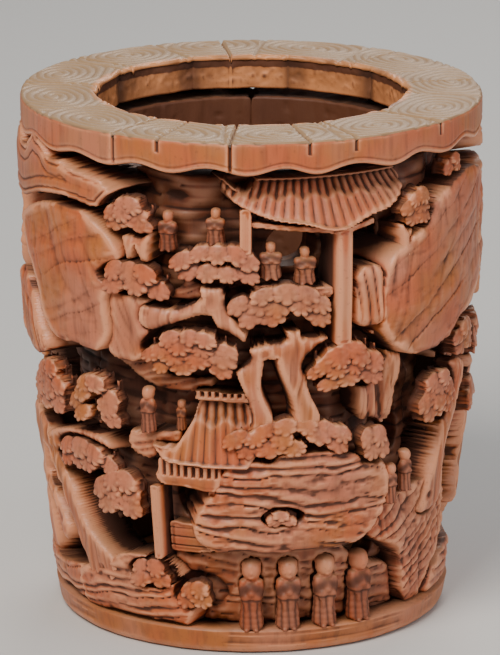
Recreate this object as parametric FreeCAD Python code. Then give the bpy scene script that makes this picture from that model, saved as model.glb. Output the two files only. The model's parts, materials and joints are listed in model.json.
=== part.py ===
"""Carved bamboo brush pot, in millimetres, +Z up, origin at the centre of the foot's underside.

The pot is one thick culm section, bored out and carved in deep openwork relief, with a disc let
into its foot. Angles are degrees round the pot: 0 is the front, at -Y, and they grow towards +X.
A carved motif is drawn as an outline of (angle, height) points on the outer surface, cut straight
in, and kept between the inner wall and the outer surface, less a setback for what lies deeper.
"""
import FreeCAD, Part
import math
import os
from FreeCAD import Vector

os.makedirs("parts", exist_ok=True)

# Driving dimensions of the turned blank
HEIGHT = 150.0
FOOT_RADIUS = 55.5
MOUTH_RADIUS = 66.0
BELLY = 4.75              # how far the side bulges past a straight line at half height
BORE_RADIUS = 42.0
WALL_FOOT_RADIUS = 45.5   # outside of the inner wall at the foot
WALL_MOUTH_RADIUS = 51.0  # and at the mouth

# Foot and let-in disc
FOOT_HEIGHT = 7.0
FOOT_ROUND = 2.5
DISC_RADIUS = 43.5
DISC_UNDERSIDE = 1.5
DISC_THICKNESS = 5.5

# Mouth ring: a cloud collar, scalloped below and notched between its cloud heads
RIM_UNDERSIDE = 138.6
RIM_BORE_RADIUS = 43.0
COLLAR_SCALLOPS = 19
SCALLOP_RADIUS = 7.6
SCALLOP_RISE = 3.9
FIRST_SCALLOP = -9.5
CLOUD_HEADS = 10
FIRST_CLOUD_NOTCH = 4.0
CLOUD_NOTCH_RADIUS = 1.8
SCALLOP_START = WALL_MOUTH_RADIUS + 3.0   # radius from which a scallop is cut outwards

# Carving depths, measured in from the outer surface
PROUD, SURFACE, SHALLOW, MIDDLE, DEEP = -0.6, 0.0, 1.5, 3.5, 6.0
TOOL_LENGTH = 60.0        # how far a cutting outline is driven in, past any wall
SMALLEST_CHIP = 3.0       # a loose crumb under this volume falls away
EAVE_LIP = 1.0            # height of a roof's upright front edge

# A robed figure, as shares of its height and of its hem's half width
HEAD_SHARE = 0.15
SHOULDER_SHARE = 0.76
FIGURE_GIRTH = 0.17
GOWN = ((1.0, 0.0), (1.04, 0.12), (0.86, 0.42), (1.06, 0.58), (0.92, 0.70))
GOWN_WIDEST = 1.06

# A pine canopy's outline: direction in degrees and reach as a share, domed above, lobed below
CANOPY_OUTLINE = ((0, 1), (35, 0.97), (65, 1), (90, 1.02), (115, 1), (145, 0.97), (180, 1),
                  (212, 0.9), (241, 1.02), (270, 0.9), (299, 1.02), (328, 0.9))


def outer_radius(height):
    """Radius of the outer surface at a height: a line from foot to mouth with a bulge."""
    share = height / HEIGHT
    return FOOT_RADIUS + (MOUTH_RADIUS - FOOT_RADIUS) * share + 4 * BELLY * share * (1 - share)


def wall_radius(height):
    """Radius of the inner wall's outside, which the relief stands on."""
    return WALL_FOOT_RADIUS + (WALL_MOUTH_RADIUS - WALL_FOOT_RADIUS) * height / HEIGHT


def outward(angle):
    """Unit vector out of the pot at an angle."""
    return Vector(math.sin(math.radians(angle)), -math.cos(math.radians(angle)), 0)


def sideways(angle):
    """Unit vector round the pot, towards growing angles."""
    return Vector(math.cos(math.radians(angle)), math.sin(math.radians(angle)), 0)


def turned(section):
    """Solid of revolution about Z of a closed (radius, height) section of straight lines."""
    corners = [Vector(r, 0, z) for r, z in section]
    face = Part.Face(Part.makePolygon(corners + corners[:1]))
    return face.revolve(Vector(0, 0, 0), Vector(0, 0, 1), 360)


def barrel(setback):
    """Solid blank inside the outer surface, less a setback, with its side one smooth arc."""
    levels = (0.0, HEIGHT / 2, HEIGHT)
    foot, waist, mouth = (Vector(outer_radius(z) - setback, 0, z) for z in levels)
    side = Part.Arc(foot, waist, mouth).toShape()
    rest = Part.makePolygon([mouth, Vector(0, 0, HEIGHT), Vector(0, 0, 0), foot])
    face = Part.Face(Part.Wire([side, *rest.Edges]))
    return face.revolve(Vector(0, 0, 0), Vector(0, 0, 1), 360)


INNER_BLANK = turned([(0, 0), (WALL_FOOT_RADIUS, 0), (WALL_MOUTH_RADIUS, HEIGHT), (0, HEIGHT)])
SHELLS = {}


def shell(setback):
    """The ring of bamboo between the inner wall and the outer surface less a setback."""
    if setback not in SHELLS:
        SHELLS[setback] = barrel(setback).cut(INNER_BLANK)
    return SHELLS[setback]


def sloping_shell(low, high, run):
    """Bamboo under a roof slope, from the outer surface at the eave in to its ridge."""
    eave, ridge = outer_radius(low), outer_radius(high) - run
    return turned([(wall_radius(low), low), (eave, low), (eave, low + EAVE_LIP), (ridge, high),
                   (wall_radius(high), high)])


def middle_angle(points):
    """Angle half way across an outline."""
    angles = [p[0] for p in points]
    return (min(angles) + max(angles)) / 2


def tool(points, smooth=True):
    """Straight-sided cutter with an outline of (angle, height) points, driven in from outside."""
    centre = middle_angle(points)
    start = outward(centre) * (MOUTH_RADIUS + BELLY)
    corners = []
    for angle, height in points:
        across = outer_radius(height) * math.sin(math.radians(angle - centre))
        corners.append(start + sideways(centre) * across + Vector(0, 0, height))
    if smooth:
        curve = Part.BSplineCurve()
        curve.interpolate(Points=corners, PeriodicFlag=True)
        wire = Part.Wire([curve.toShape()])
    else:
        wire = Part.makePolygon(corners + corners[:1])
    return Part.Face(wire).extrude(outward(centre) * -TOOL_LENGTH)


def relief(points, setback=SURFACE, smooth=True):
    """Motif with an outline of (angle, height) points, standing on the inner wall."""
    return tool(points, smooth).common(shell(setback))


def canopy(angle, height, width, tall, setback=SURFACE, lean=0.0):
    """Pine canopy: a domed head over a flatter, three-lobed underside, width in degrees."""
    points = []
    for turn, reach in CANOPY_OUTLINE:
        across = math.cos(math.radians(turn)) * reach * width / 2
        rise = math.sin(math.radians(turn)) * reach * tall / 2
        points.append((angle + across, height + rise + lean * across / width))
    return relief(points, setback)


def limb(path, setback=SHALLOW):
    """Trunk or branch along a path of (angle, height, thickness) points."""
    left, right = [], []
    for index, (angle, height, thickness) in enumerate(path):
        before, after = path[max(index - 1, 0)], path[min(index + 1, len(path) - 1)]
        scale = math.radians(outer_radius(height))
        along = Vector((after[0] - before[0]) * scale, after[1] - before[1], 0).normalize()
        side = thickness / 2
        left.append((angle - along.y * side / scale, height + along.x * side))
        right.append((angle + along.y * side / scale, height - along.x * side))
    return relief(left + right[::-1], setback)


def figure(angle, feet, tall, setback=SHALLOW, girth=FIGURE_GIRTH):
    """Robed figure: a waisted gown and a round head, its back let into what is behind it."""
    head, hem = tall * HEAD_SHARE, tall * girth
    gown = [(0, 0)] + [(hem * wide, tall * up) for wide, up in GOWN]
    gown += [(head / 2, tall * SHOULDER_SHARE), (0, tall * SHOULDER_SHARE)]
    body = turned(gown).fuse(Part.makeSphere(head, Vector(0, 0, tall - head)))
    stand = outer_radius(feet + tall / 2) - setback - hem * GOWN_WIDEST
    body.translate(outward(angle) * stand + Vector(0, 0, feet))
    return body


def post(angle, low, high, width, setback=SHALLOW):
    """Square pillar that follows the pot's side, width in millimetres."""
    half = math.degrees(width / 2 / outer_radius((low + high) / 2))
    corners = [(angle - half, low), (angle + half, low), (angle + half, high), (angle - half, high)]
    return relief(corners, setback, smooth=False)


def roof(points, ridge_run):
    """Tiled roof with an outline of (angle, height) points, leaning back to its ridge."""
    heights = [p[1] for p in points]
    return tool(points).common(sloping_shell(min(heights), max(heights), ridge_run))


def group(*shapes):
    """Separate solids that share one node."""
    return Part.makeCompound(list(shapes))


def joined(*shapes):
    """One solid made of shapes that run into each other."""
    return shapes[0].multiFuse(list(shapes[1:])).removeSplitter()


# ---------------------------------------------------------------- the turned and bored pieces

def inner_wall():
    """Bored inner wall, rebated for the disc and pierced where the carving goes right through."""
    wall = turned([(BORE_RADIUS, DISC_UNDERSIDE + DISC_THICKNESS), (BORE_RADIUS, RIM_UNDERSIDE),
                   (wall_radius(RIM_UNDERSIDE), RIM_UNDERSIDE), (WALL_FOOT_RADIUS, 0),
                   (DISC_RADIUS, 0), (DISC_RADIUS, DISC_UNDERSIDE + DISC_THICKNESS)])
    piercings = [
        [(-51, 139), (-46, 140.2), (-40, 136.5), (-40, 133), (-46, 135), (-51, 137)],
        [(0, 133), (2, 138), (6, 138), (5, 133.5)],
        [(8, 114), (9, 122), (16, 123), (17, 115), (12, 112)],
        [(27, 114), (28, 122), (36, 124), (37, 117)],
        [(44, 54), (43.5, 66), (47, 70), (53, 62), (52, 54)],
        [(-47, 27), (-46, 35), (-39, 36), (-36, 28)],
        [(32, 24), (33, 31), (42, 32), (41, 24)],
        [(-21, 41), (-21, 48), (-14, 48), (-14, 41)],
        [(70, 100), (72, 110), (78, 108), (77, 98)],
        [(154, 76), (154, 87), (163, 88), (163, 76)],
        [(173, 76), (173, 88), (181, 87), (181, 76)],
        [(226, 30), (228, 42), (235, 40), (234, 28)],
        [(133, 92), (135, 104), (141, 102), (140, 90)],
        [(137, 19), (142, 27), (152, 28), (157, 19)],
    ]
    return wall.cut([tool(p) for p in piercings])


def foot_ring():
    """Ring of bamboo left uncarved round the foot, its lower edge rounded over."""
    blank = barrel(SURFACE).common(Part.makeCylinder(2 * MOUTH_RADIUS, FOOT_HEIGHT))
    lowest = [e for e in blank.Edges if e.BoundBox.ZMax < 0.01 and e.BoundBox.XLength > FOOT_RADIUS]
    return blank.makeFillet(FOOT_ROUND, lowest).cut(INNER_BLANK)


def base_disc():
    """Disc let into the rebate of the foot, clear of what the pot stands on."""
    return Part.makeCylinder(DISC_RADIUS, DISC_THICKNESS, Vector(0, 0, DISC_UNDERSIDE))


def rim_collar():
    """Mouth ring, its underside scalloped all round and its edges notched between cloud heads."""
    top = HEIGHT - RIM_UNDERSIDE
    band = Part.makeCylinder(2 * MOUTH_RADIUS, top, Vector(0, 0, RIM_UNDERSIDE))
    ring = barrel(SURFACE).common(band).cut(Part.makeCylinder(RIM_BORE_RADIUS, HEIGHT))
    scallops = []
    for index in range(COLLAR_SCALLOPS):
        direction = outward(FIRST_SCALLOP + index * 360.0 / COLLAR_SCALLOPS)
        centre = direction * SCALLOP_START
        centre.z = RIM_UNDERSIDE + SCALLOP_RISE - SCALLOP_RADIUS
        scallops.append(Part.makeCylinder(SCALLOP_RADIUS, TOOL_LENGTH, centre, direction))
    notches = []
    for index in range(CLOUD_HEADS):
        direction = outward(FIRST_CLOUD_NOTCH + index * 360.0 / CLOUD_HEADS)
        for reach in (RIM_BORE_RADIUS, MOUTH_RADIUS + CLOUD_NOTCH_RADIUS / 2):
            foot = direction * reach + Vector(0, 0, RIM_UNDERSIDE)
            notches.append(Part.makeCylinder(CLOUD_NOTCH_RADIUS, 2 * top, foot))
    return ring.cut(scallops + notches)


# ---------------------------------------------------------------- the carved scene, by quarter

def front_figures():
    """Small people of the front, who stand before everything else."""
    return {
        "standing_scholars": group(*[figure(a, 7.0, 21.0, SHALLOW) for a in (0, 11, 22.5, 34)]),
        "seated_scholars": group(figure(5, 110.5, 10.5, MIDDLE, 0.3), figure(14, 108.8, 10.5, MIDDLE, 0.3)),
        "hill_travellers": group(figure(-22.0, 117.5, 11.5, MIDDLE, 0.24),
                                 figure(-9.2, 120.0, 10.5, MIDDLE, 0.26)),
        "garden_servant": group(figure(-27.5, 65.0, 13.5, SHALLOW), figure(-19.5, 65.5, 9.0, DEEP)),
        "bridge_travellers": group(figure(39.5, 42.0, 12.0, SURFACE), figure(46.0, 44.0, 12.5, SHALLOW)),
    }


def front_buildings():
    """Hill pavilion under the rim and garden hall below it."""
    hill_roof = [(-5.0, 138.0), (-3.9, 133.5), (0.5, 130.0), (7, 127.6), (15, 126.0), (20.5, 124.2),
                 (24, 124.8), (31, 127.4), (38, 129.6), (41, 134.5), (38, RIM_UNDERSIDE),
                 (20, RIM_UNDERSIDE), (4, RIM_UNDERSIDE), (-1.2, 135.0)]
    garden_roof = [(-25.4, 61.6), (-23.0, 58.4), (-17, 57.2), (-10, 56.6), (-1, 57.0), (1, 64), (-0.5, 73),
                   (-6, 75.5), (-13, 76), (-15.2, 70), (-18.0, 64.5), (-21.5, 61.4)]
    garden_eave = [(-24.6, 56.8), (-24.4, 51.2), (-16, 50.0), (-9, 49.8), (-8.6, 56.0), (-16, 56.6)]
    balcony = [(1.5, 109.6), (21.5, 107.8), (21.5, 104.6), (12, 105.8), (1.5, 106.4)]
    plinth = [(-23.4, 38.8), (-12.6, 37.6), (-12.0, 29.5), (-23.4, 29.0)]
    front_beam = [(0.4, 127.4), (0.4, 125.6), (21.2, 122.6), (21.2, 124.4)]
    side_beam = [(25.2, 124.2), (25.2, 122.4), (32, 124.4), (32, 126.2)]
    garden_ridge = [(-14.2, 78.4), (-0.6, 77.6), (-0.6, 74.6), (-14.4, 75.4)]
    return {
        "hill_pavilion_roof": roof(hill_roof, 8.0),
        "hill_pavilion_frame": group(post(-1.4, 118.0, 131.5, 3.4), post(23.2, 91.0, 125.4, 4.4),
                                     relief(front_beam, MIDDLE, smooth=False),
                                     relief(side_beam, MIDDLE, smooth=False)),
        "hill_pavilion_balcony": relief(balcony, MIDDLE, smooth=False),
        "garden_hall_roof": roof(garden_roof, 6.5),
        "garden_hall_ridge_and_eave": group(relief(garden_ridge, DEEP - 1, smooth=False),
                                            relief(garden_eave, SHALLOW)),
        "garden_hall_posts": group(post(-25.4, 27.5, 50.6, 2.6, SURFACE),
                                   post(-10.6, 37.5, 50.2, 2.4, MIDDLE)),
        "garden_hall_plinth": relief(plinth, DEEP - 1, smooth=False),
    }


def front_trees():
    """Pines and shrubs of the front."""
    return {
        "central_pine_canopies": group(canopy(-14.6, 89.4, 28.0, 17.0), canopy(25.0, 85.6, 24.0, 17.0),
                                       canopy(8.4, 103.4, 28.0, 14.6), canopy(-8.0, 115.4, 25.0, 14.0)),
        "central_pine_trunk": joined(
            limb([(1.2, 68, 5.6), (0.4, 79, 5.0), (-0.4, 89, 5.8)]),
            limb([(13.0, 68, 6.8), (11.8, 79, 5.8), (10.4, 91, 5.6)]),
            limb([(-8, 86.6, 3.2), (-1, 88.8, 4.4), (6, 90.8, 4.6), (11, 91.4, 5.0), (20, 90.0, 3.6)]),
            limb([(-4.4, 92, 5.8), (-7.6, 101, 4.8), (-9.8, 111, 3.8)]),
            limb([(10.4, 90, 5.0), (10.6, 95, 3.8), (10.4, 100, 4.2)]),
            limb([(-9, 101.5, 3.2), (-18, 100.4, 3.8), (-28, 98.6, 4.4)])),
        "hillside_pine_canopies": group(canopy(-31.5, 127.2, 16.5, 12.6), canopy(-30.0, 109.0, 21.5, 10.6)),
        "hillside_pine_trunk": joined(limb([(-28.6, 108, 3.0), (-27.4, 115, 2.8), (-27.8, 124, 2.8)]),
                                      limb([(-34, 108, 3.0), (-31.6, 115, 2.6), (-31.4, 124, 3.0)])),
        "strata_rock_shrubs": group(canopy(0.8, 64.6, 17.0, 12.6), canopy(19.6, 66.2, 19.5, 12.0),
                                    canopy(33.2, 61.2, 10.5, 11.4), canopy(8.0, 41.6, 11.0, 5.4, PROUD)),
        "left_pine_canopies": group(canopy(-63.5, 71.6, 23, 17.6, lean=6),
                                    canopy(-42.6, 72.2, 20, 18.4, lean=5),
                                    canopy(-48.5, 54.0, 27, 10.0, lean=-1),
                                    canopy(-36.6, 45.4, 17.5, 16.0)),
        "left_pine_trunks": joined(
            limb([(-47, 17, 12), (-54, 28, 8.4), (-60.5, 41, 7.0), (-68, 51, 6.2), (-77, 58.5, 4.6)]),
            limb([(-66, 54, 4), (-56, 58.6, 3.4), (-40, 55.4, 3.0)]),
            limb([(-82, 17, 7), (-80, 30, 5.4), (-77, 46, 5.2), (-80, 62, 4.6)]),
            limb([(-78, 44, 3.6), (-70, 34, 3.4), (-66, 24, 4.0)])),
        "left_ground_bushes": group(canopy(-29.0, 22.4, 15.5, 9.0), canopy(-15.4, 17.4, 13.5, 9.6)),
        "right_crag_pine": group(canopy(45.2, 127.2, 12.5, 12.8), canopy(62.5, 135.4, 10.5, 7.2, SHALLOW)),
        "right_pine_canopies": group(canopy(56.6, 70.0, 18.5, 18.0), canopy(69.0, 84.4, 15.0, 12.6)),
        "right_pine_trunk": joined(limb([(57, 36, 8.4), (60, 48, 6.4), (62.5, 60, 5.4), (66, 78, 4.6)]),
                                   limb([(42.6, 111, 3.4), (41.6, 118, 3.0), (43.4, 124, 3.4)])),
    }


def front_rocks():
    """Cliffs, crags and ledges of the front."""
    cloud_hook = [(-89, 138), (-86, 143), (-74, 144), (-60, 143.4), (-55.6, 141.5), (-54.6, 138.8),
                  (-50, 137.2), (-44, 136.2), (-38.6, 134.6), (-36.6, 131.6), (-39.5, 128.6), (-47, 128.4),
                  (-56, 128.6), (-66, 126.2), (-78, 122.6), (-87, 125), (-90, 131)]
    left_cliff = [(-76, 118.5), (-71, 121.6), (-63, 124.6), (-53, 126.2), (-45, 125.4), (-38.5, 121),
                  (-34.4, 114), (-36, 108.5), (-39, 101), (-38.4, 92), (-42, 86.4), (-50, 86.6),
                  (-58, 86.6), (-63, 92), (-67.5, 102), (-73, 110)]
    left_column = [(-40.5, 103.5), (-34, 105.4), (-27, 102.6), (-25.6, 95), (-28, 87.4), (-32.4, 84.6),
                   (-38, 86), (-40.8, 93)]
    edge_boulders = [(-85, 98), (-79, 102), (-73, 98.5), (-67, 89), (-63.5, 82), (-69, 78.6), (-79, 79.6),
                     (-87, 83), (-88.5, 91)]
    hillside = [(-28, 112), (-20, 115), (-12, 118.6), (-4, 117), (-4, 107), (-14, 104), (-24, 105)]
    back_slope = [(-38, 86), (-26, 90), (-14, 86), (-12, 79), (-22, 76.6), (-32, 80)]
    boulder = [(26.4, 106.5), (27.4, 110.6), (30.6, 113.4), (34.0, 111.6), (35.0, 106.5), (34.6, 102.0),
               (35.0, 96.6), (31.0, 95.0), (27.4, 96.8), (27.2, 102.0)]
    right_cliff = [(35.5, 110), (40, 116.6), (46, 120.4), (51, 126.0), (58, 130.6), (66, 132.6),
                   (75, 132.8), (81, 128), (82, 113), (80, 101), (72, 94), (64, 88.4), (56, 84.8),
                   (48, 84.2), (41, 86.4), (36.4, 91), (34.6, 99)]
    ochre_crag = [(29, 88), (34.5, 94), (40.5, 90.6), (42.4, 83), (40.4, 73), (38.6, 65.6), (33.4, 64.6),
                  (30, 71), (29.6, 80)]
    strata_rock = [(-9, 51), (-4, 58.0), (8, 61.0), (20, 60.6), (29, 59.2), (36, 55.4), (38, 47),
                   (35.4, 38), (30, 32.4), (20, 31.2), (8, 31), (-4, 30.6), (-11, 31.6), (-15, 36),
                   (-13.6, 43)]
    grotto_back = [(-15, 30.5), (5, 31.5), (25, 31.5), (32, 25), (44, 20), (50, 8), (45, 6.5), (5, 6.5),
                   (-20, 6.5), (-20, 18)]
    right_crag = [(37, 41), (44, 43.5), (52, 46), (62, 44), (69, 37), (71, 27), (67, 17), (61, 7), (55, 7),
                  (50.5, 16), (46.5, 26), (38.5, 30.5), (34.6, 34)]
    garden_bank = [(-33, 64.5), (-25, 65.6), (-16, 66), (-17, 60), (-24, 56), (-31, 57), (-34, 60)]
    ledge_front_left = [(-55, 19), (-46, 22.5), (-38, 27), (-29, 27.6), (-23, 25), (-19.4, 19), (-17, 12),
                        (-20, 6.5), (-38, 6.5), (-56, 6.5)]
    ledge_left = [(-93, 17), (-82, 18.6), (-70, 16.6), (-57, 17.6), (-55, 12), (-56, 6.5), (-74, 6.5),
                  (-93, 6.5)]
    return {
        "cloud_hook": relief(cloud_hook),
        "left_cliff": relief(left_cliff),
        "left_rock_column": relief(left_column, SHALLOW),
        "left_edge_boulders": relief(edge_boulders),
        "right_boulder": relief(boulder, SHALLOW),
        "right_cliff": relief(right_cliff),
        "strata_rock": relief(strata_rock),
        "right_crag": relief(right_crag, SHALLOW),
        "left_ledges": group(relief(ledge_left), relief(ledge_front_left)),
        "ochre_crag": relief(ochre_crag, MIDDLE),
        "hillside_slopes": group(relief(hillside, DEEP), relief(back_slope, DEEP),
                                 relief(garden_bank, MIDDLE)),
        "grotto_back": relief(grotto_back, DEEP),
    }


def back_buildings():
    """Water hall and bridge of the back, with their people."""
    hall_roof = [(143.5, 99.4), (146, 94.4), (156, 92.4), (168, 91.8), (180, 92.4), (190, 94.4),
                 (192.5, 99.4), (187, 99.6), (181, 108), (168, 109.2), (155, 108), (149, 99.6)]
    bridge = [(126, 34), (136, 38.6), (148, 40.4), (160, 38.6), (170, 34), (170, 29.6), (160, 33.4),
              (148, 34.8), (136, 33.4), (126, 29.6)]
    return {
        "back_figures": group(figure(160.5, 71.0, 12.5, MIDDLE, 0.22),
                              figure(176.0, 71.0, 11.5, MIDDLE, 0.24),
                              figure(142.5, 40.2, 15.0, SHALLOW), figure(153.5, 40.2, 14.0, SHALLOW)),
        "water_hall_roof": roof(hall_roof, 7.0),
        "water_hall_posts": group(*[post(a, 70.0, 93.4, 3.4) for a in (149.5, 168.0, 186.5)]),
        "water_hall_terrace": relief([(145, 71), (191, 71), (191, 66.4), (145, 66.4)], SURFACE, False),
        "stone_bridge": relief(bridge, SURFACE),
    }


def back_trees():
    """Pines and shrubs of the back."""
    return {
        "back_pine_canopies": group(canopy(206, 110.5, 26, 14.6), canopy(222.5, 93.4, 22, 13.4),
                                    canopy(199.5, 84.6, 13, 11.4), canopy(226.5, 70.4, 22, 13.6),
                                    canopy(205.5, 61.4, 20, 12.4)),
        "back_pine_trunk": joined(
            limb([(215, 14, 11), (210, 32, 8.4), (215.5, 52, 7.2), (211, 74, 6.4), (208, 104, 4.4)]),
            limb([(214, 60, 4.4), (221, 66, 3.6)]),
            limb([(211, 82, 4.2), (218, 89, 3.6)])),
        "east_pine_canopies": group(canopy(94, 78.4, 20, 14), canopy(112, 84.6, 16, 12.4),
                                    canopy(84.5, 62.6, 15, 13)),
        "east_pine_trunk": limb([(88, 30, 8.4), (91, 46, 6.4), (88.5, 60, 5.6), (92, 74, 4.8)]),
        "back_shrubs": group(canopy(180, 57.4, 19, 11.4), canopy(134, 58.0, 17, 12),
                             canopy(129, 112.4, 15, 13), canopy(151, 123.4, 20, 12.4),
                             canopy(247, 66.0, 17, 12.6), canopy(152, 56.8, 16, 10.6),
                             canopy(166, 58.8, 12, 9.4), canopy(169.5, 123.4, 15, 11),
                             canopy(188, 117.0, 14, 10.4), canopy(236.5, 78.4, 14, 10),
                             canopy(222.5, 47.0, 15, 11)),
    }


def back_rocks():
    """Cliffs and ledges of the back."""
    east_cliff = [(86, 124), (95, 129), (107, 127.6), (116, 121), (121, 108), (118.6, 96), (110, 91),
                  (99, 88.6), (90, 90.4), (85.4, 99), (84.4, 112)]
    north_crag = [(126, 104), (136, 112), (147, 115), (158, 117), (168, 116), (170, 112), (154, 109.6),
                  (143, 101), (140, 88), (143, 74), (136, 64), (127, 68), (123, 80), (124, 92)]
    west_cliff = [(232, 112), (238, 122), (248, 127.4), (260, 126), (267, 120), (268.6, 106), (264, 94),
                  (256, 86), (247, 82.4), (239, 88), (234, 100)]
    south_crag = [(97, 66), (106, 73), (116, 73.4), (124, 64), (126.6, 50), (125, 36), (117, 24),
                  (105, 18.6), (96, 22), (93.4, 38), (94.4, 54)]
    back_strata = [(170.6, 50), (180, 52.8), (192, 52.6), (202, 49), (206, 38), (203, 24), (192, 18),
                   (178, 18.6), (171, 28)]
    west_crag = [(233, 52), (241, 58), (250, 59.6), (259, 56), (265, 46), (264, 30), (256, 20), (243, 18),
                 (236, 24), (232.6, 38)]
    ledge_right = [(68, 14), (80, 19), (94, 17.4), (108, 18), (121, 15), (121, 6.5), (94, 6.5), (66, 6.5)]
    ledge_back = [(124, 14), (136, 19), (150, 17), (164, 19), (176, 15.4), (177, 6.5), (150, 6.5),
                  (122.6, 6.5)]
    ledge_west = [(180, 15.4), (193, 17.6), (206, 15), (220, 17.6), (233, 15), (235, 6.5), (206, 6.5),
                  (178.6, 6.5)]
    ledge_hook = [(237, 14), (246, 17.6), (255, 16.4), (265, 17.6), (265.6, 12), (265, 6.5), (252, 6.5),
                  (236.6, 6.5)]
    back_hook = [(92, 137), (96, 143.4), (112, 144.4), (128, 143.4), (133, 141), (134, 138.4), (142, 136.6),
                 (151, 136), (154.6, 133.4), (151, 130), (140, 129.6), (127, 130.6), (112, 131), (99, 131)]
    west_hook = [(188, 137.4), (192, 143), (206, 144), (222, 143.4), (238, 144), (246, 140), (244, 134),
                 (234, 131), (220, 130), (206, 128.6), (194, 127.4), (186.4, 130)]
    return {
        "east_cloud_hook": relief(back_hook),
        "west_cloud_hook": relief(west_hook),
        "east_cliff": relief(east_cliff),
        "north_crag": relief(north_crag, SHALLOW),
        "west_cliff": relief(west_cliff),
        "south_crag": relief(south_crag, SHALLOW),
        "back_strata_rock": relief(back_strata),
        "west_crag": relief(west_crag, SHALLOW),
        "back_ledges": group(relief(ledge_right), relief(ledge_back), relief(ledge_west),
                             relief(ledge_hook)),
    }


def far_slopes():
    """Deep-set hillsides of the sides and back, which close the ground between the rocks."""
    east_upper = [(66, 80), (74, 91), (88, 89), (104, 88), (122, 93), (126, 80), (118, 73), (104, 73),
                  (92, 67), (80, 66), (70, 70)]
    east_lower = [(66, 38), (72, 52), (82, 58), (94, 50), (95, 34), (92, 20), (80, 18.5), (70, 17), (70, 28)]
    hall_foot = [(143, 66), (150, 66), (170, 66), (190, 66), (197, 58), (186, 51), (168, 50), (150, 45),
                 (142, 47), (140, 56)]
    back_sky = [(122, 128), (136, 129), (152, 129), (170, 129), (186, 126), (200, 122), (196, 112),
                (184, 110), (168, 112), (150, 118), (136, 113), (124, 106)]
    west_upper = [(216, 108), (226, 124), (236, 126), (234, 112), (236, 98), (238, 84), (246, 80), (240, 70),
                  (228, 76), (219, 84)]
    west_lower = [(200, 18), (204, 30), (207, 46), (218, 52), (232, 56), (233, 40), (233, 24), (228, 18),
                  (214, 17)]
    west_edge = [(256, 84), (266, 92), (272, 98), (276, 88), (272, 74), (264, 62), (258, 66), (254, 76)]
    slopes = (east_upper, east_lower, hall_foot, back_sky, west_upper, west_lower, west_edge)
    return {"far_slopes": group(*[relief(outline, DEEP) for outline in slopes])}


def carve(motifs, fixed):
    """Cuts each motif away where one listed before it, or a fixed piece, already stands."""
    placed = list(fixed.values())
    done = {}
    for node, shape in motifs.items():
        near = [other for other in placed if shape.BoundBox.intersect(other.BoundBox)]
        if near:
            shape = shape.cut(near)
        solids = [s for s in shape.Solids if s.Volume > SMALLEST_CHIP]
        done[node] = group(*solids)
        placed.extend(solids)
    return done


def main():
    """Makes every node and writes one STEP file for each."""
    fixed = {"inner_wall": inner_wall(), "foot_ring": foot_ring(), "base_disc": base_disc(),
             "rim_collar": rim_collar()}
    motifs = {}
    for quarter in (front_figures, front_buildings, front_trees, front_rocks,
                    back_buildings, back_trees, back_rocks, far_slopes):
        motifs.update(quarter())
    nodes = {**fixed, **carve(motifs, fixed)}
    for node, shape in nodes.items():
        if not (shape.Solids and shape.isValid()):
            print("check", node, "solids", len(shape.Solids), "valid", shape.isValid())
        shape.exportStep(f"parts/{node}.step")
    print(len(nodes), "nodes,", sum(len(s.Solids) for s in nodes.values()), "solids")


main()
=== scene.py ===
"""Carved bamboo brush pot: the finished carving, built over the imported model."""

import json
import logging
import math
from dataclasses import dataclass
from enum import Enum
from typing import Iterable

import bmesh
import bpy
import numpy as np
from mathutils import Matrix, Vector
from mathutils.bvhtree import BVHTree

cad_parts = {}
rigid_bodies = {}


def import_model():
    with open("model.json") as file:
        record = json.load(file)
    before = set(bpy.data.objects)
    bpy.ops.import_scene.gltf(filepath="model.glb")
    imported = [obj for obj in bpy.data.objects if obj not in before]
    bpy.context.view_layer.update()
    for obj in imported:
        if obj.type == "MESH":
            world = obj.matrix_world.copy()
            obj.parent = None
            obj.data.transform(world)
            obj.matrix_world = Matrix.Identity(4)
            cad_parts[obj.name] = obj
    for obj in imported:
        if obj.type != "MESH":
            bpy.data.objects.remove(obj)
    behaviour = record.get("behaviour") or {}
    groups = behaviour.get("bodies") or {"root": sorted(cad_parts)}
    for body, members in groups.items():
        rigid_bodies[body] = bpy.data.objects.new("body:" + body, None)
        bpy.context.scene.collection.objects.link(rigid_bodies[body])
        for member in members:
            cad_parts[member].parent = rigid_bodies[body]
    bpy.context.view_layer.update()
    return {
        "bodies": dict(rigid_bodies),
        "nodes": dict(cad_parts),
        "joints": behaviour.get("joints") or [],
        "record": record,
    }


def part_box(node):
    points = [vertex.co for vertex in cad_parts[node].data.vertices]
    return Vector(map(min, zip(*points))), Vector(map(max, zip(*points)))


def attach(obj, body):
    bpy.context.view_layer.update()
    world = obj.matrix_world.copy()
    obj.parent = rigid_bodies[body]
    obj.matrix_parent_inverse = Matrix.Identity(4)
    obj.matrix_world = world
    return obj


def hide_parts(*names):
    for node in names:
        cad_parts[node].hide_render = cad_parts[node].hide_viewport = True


MM = 0.001
FAR = 80.0                # starting radius of a reading ray, outside the whole pot
Array = np.ndarray
log = logging.getLogger("brush_pot")


class Slot(Enum):
    """Material slots of the record."""

    CARVING = "carved_bamboo"
    RIM = "rim_bamboo"
    WELL = "inner_wall_bamboo"
    DISC = "base_disc_wood"


# ------------------------------------------------------------------ fields over the surface

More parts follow.
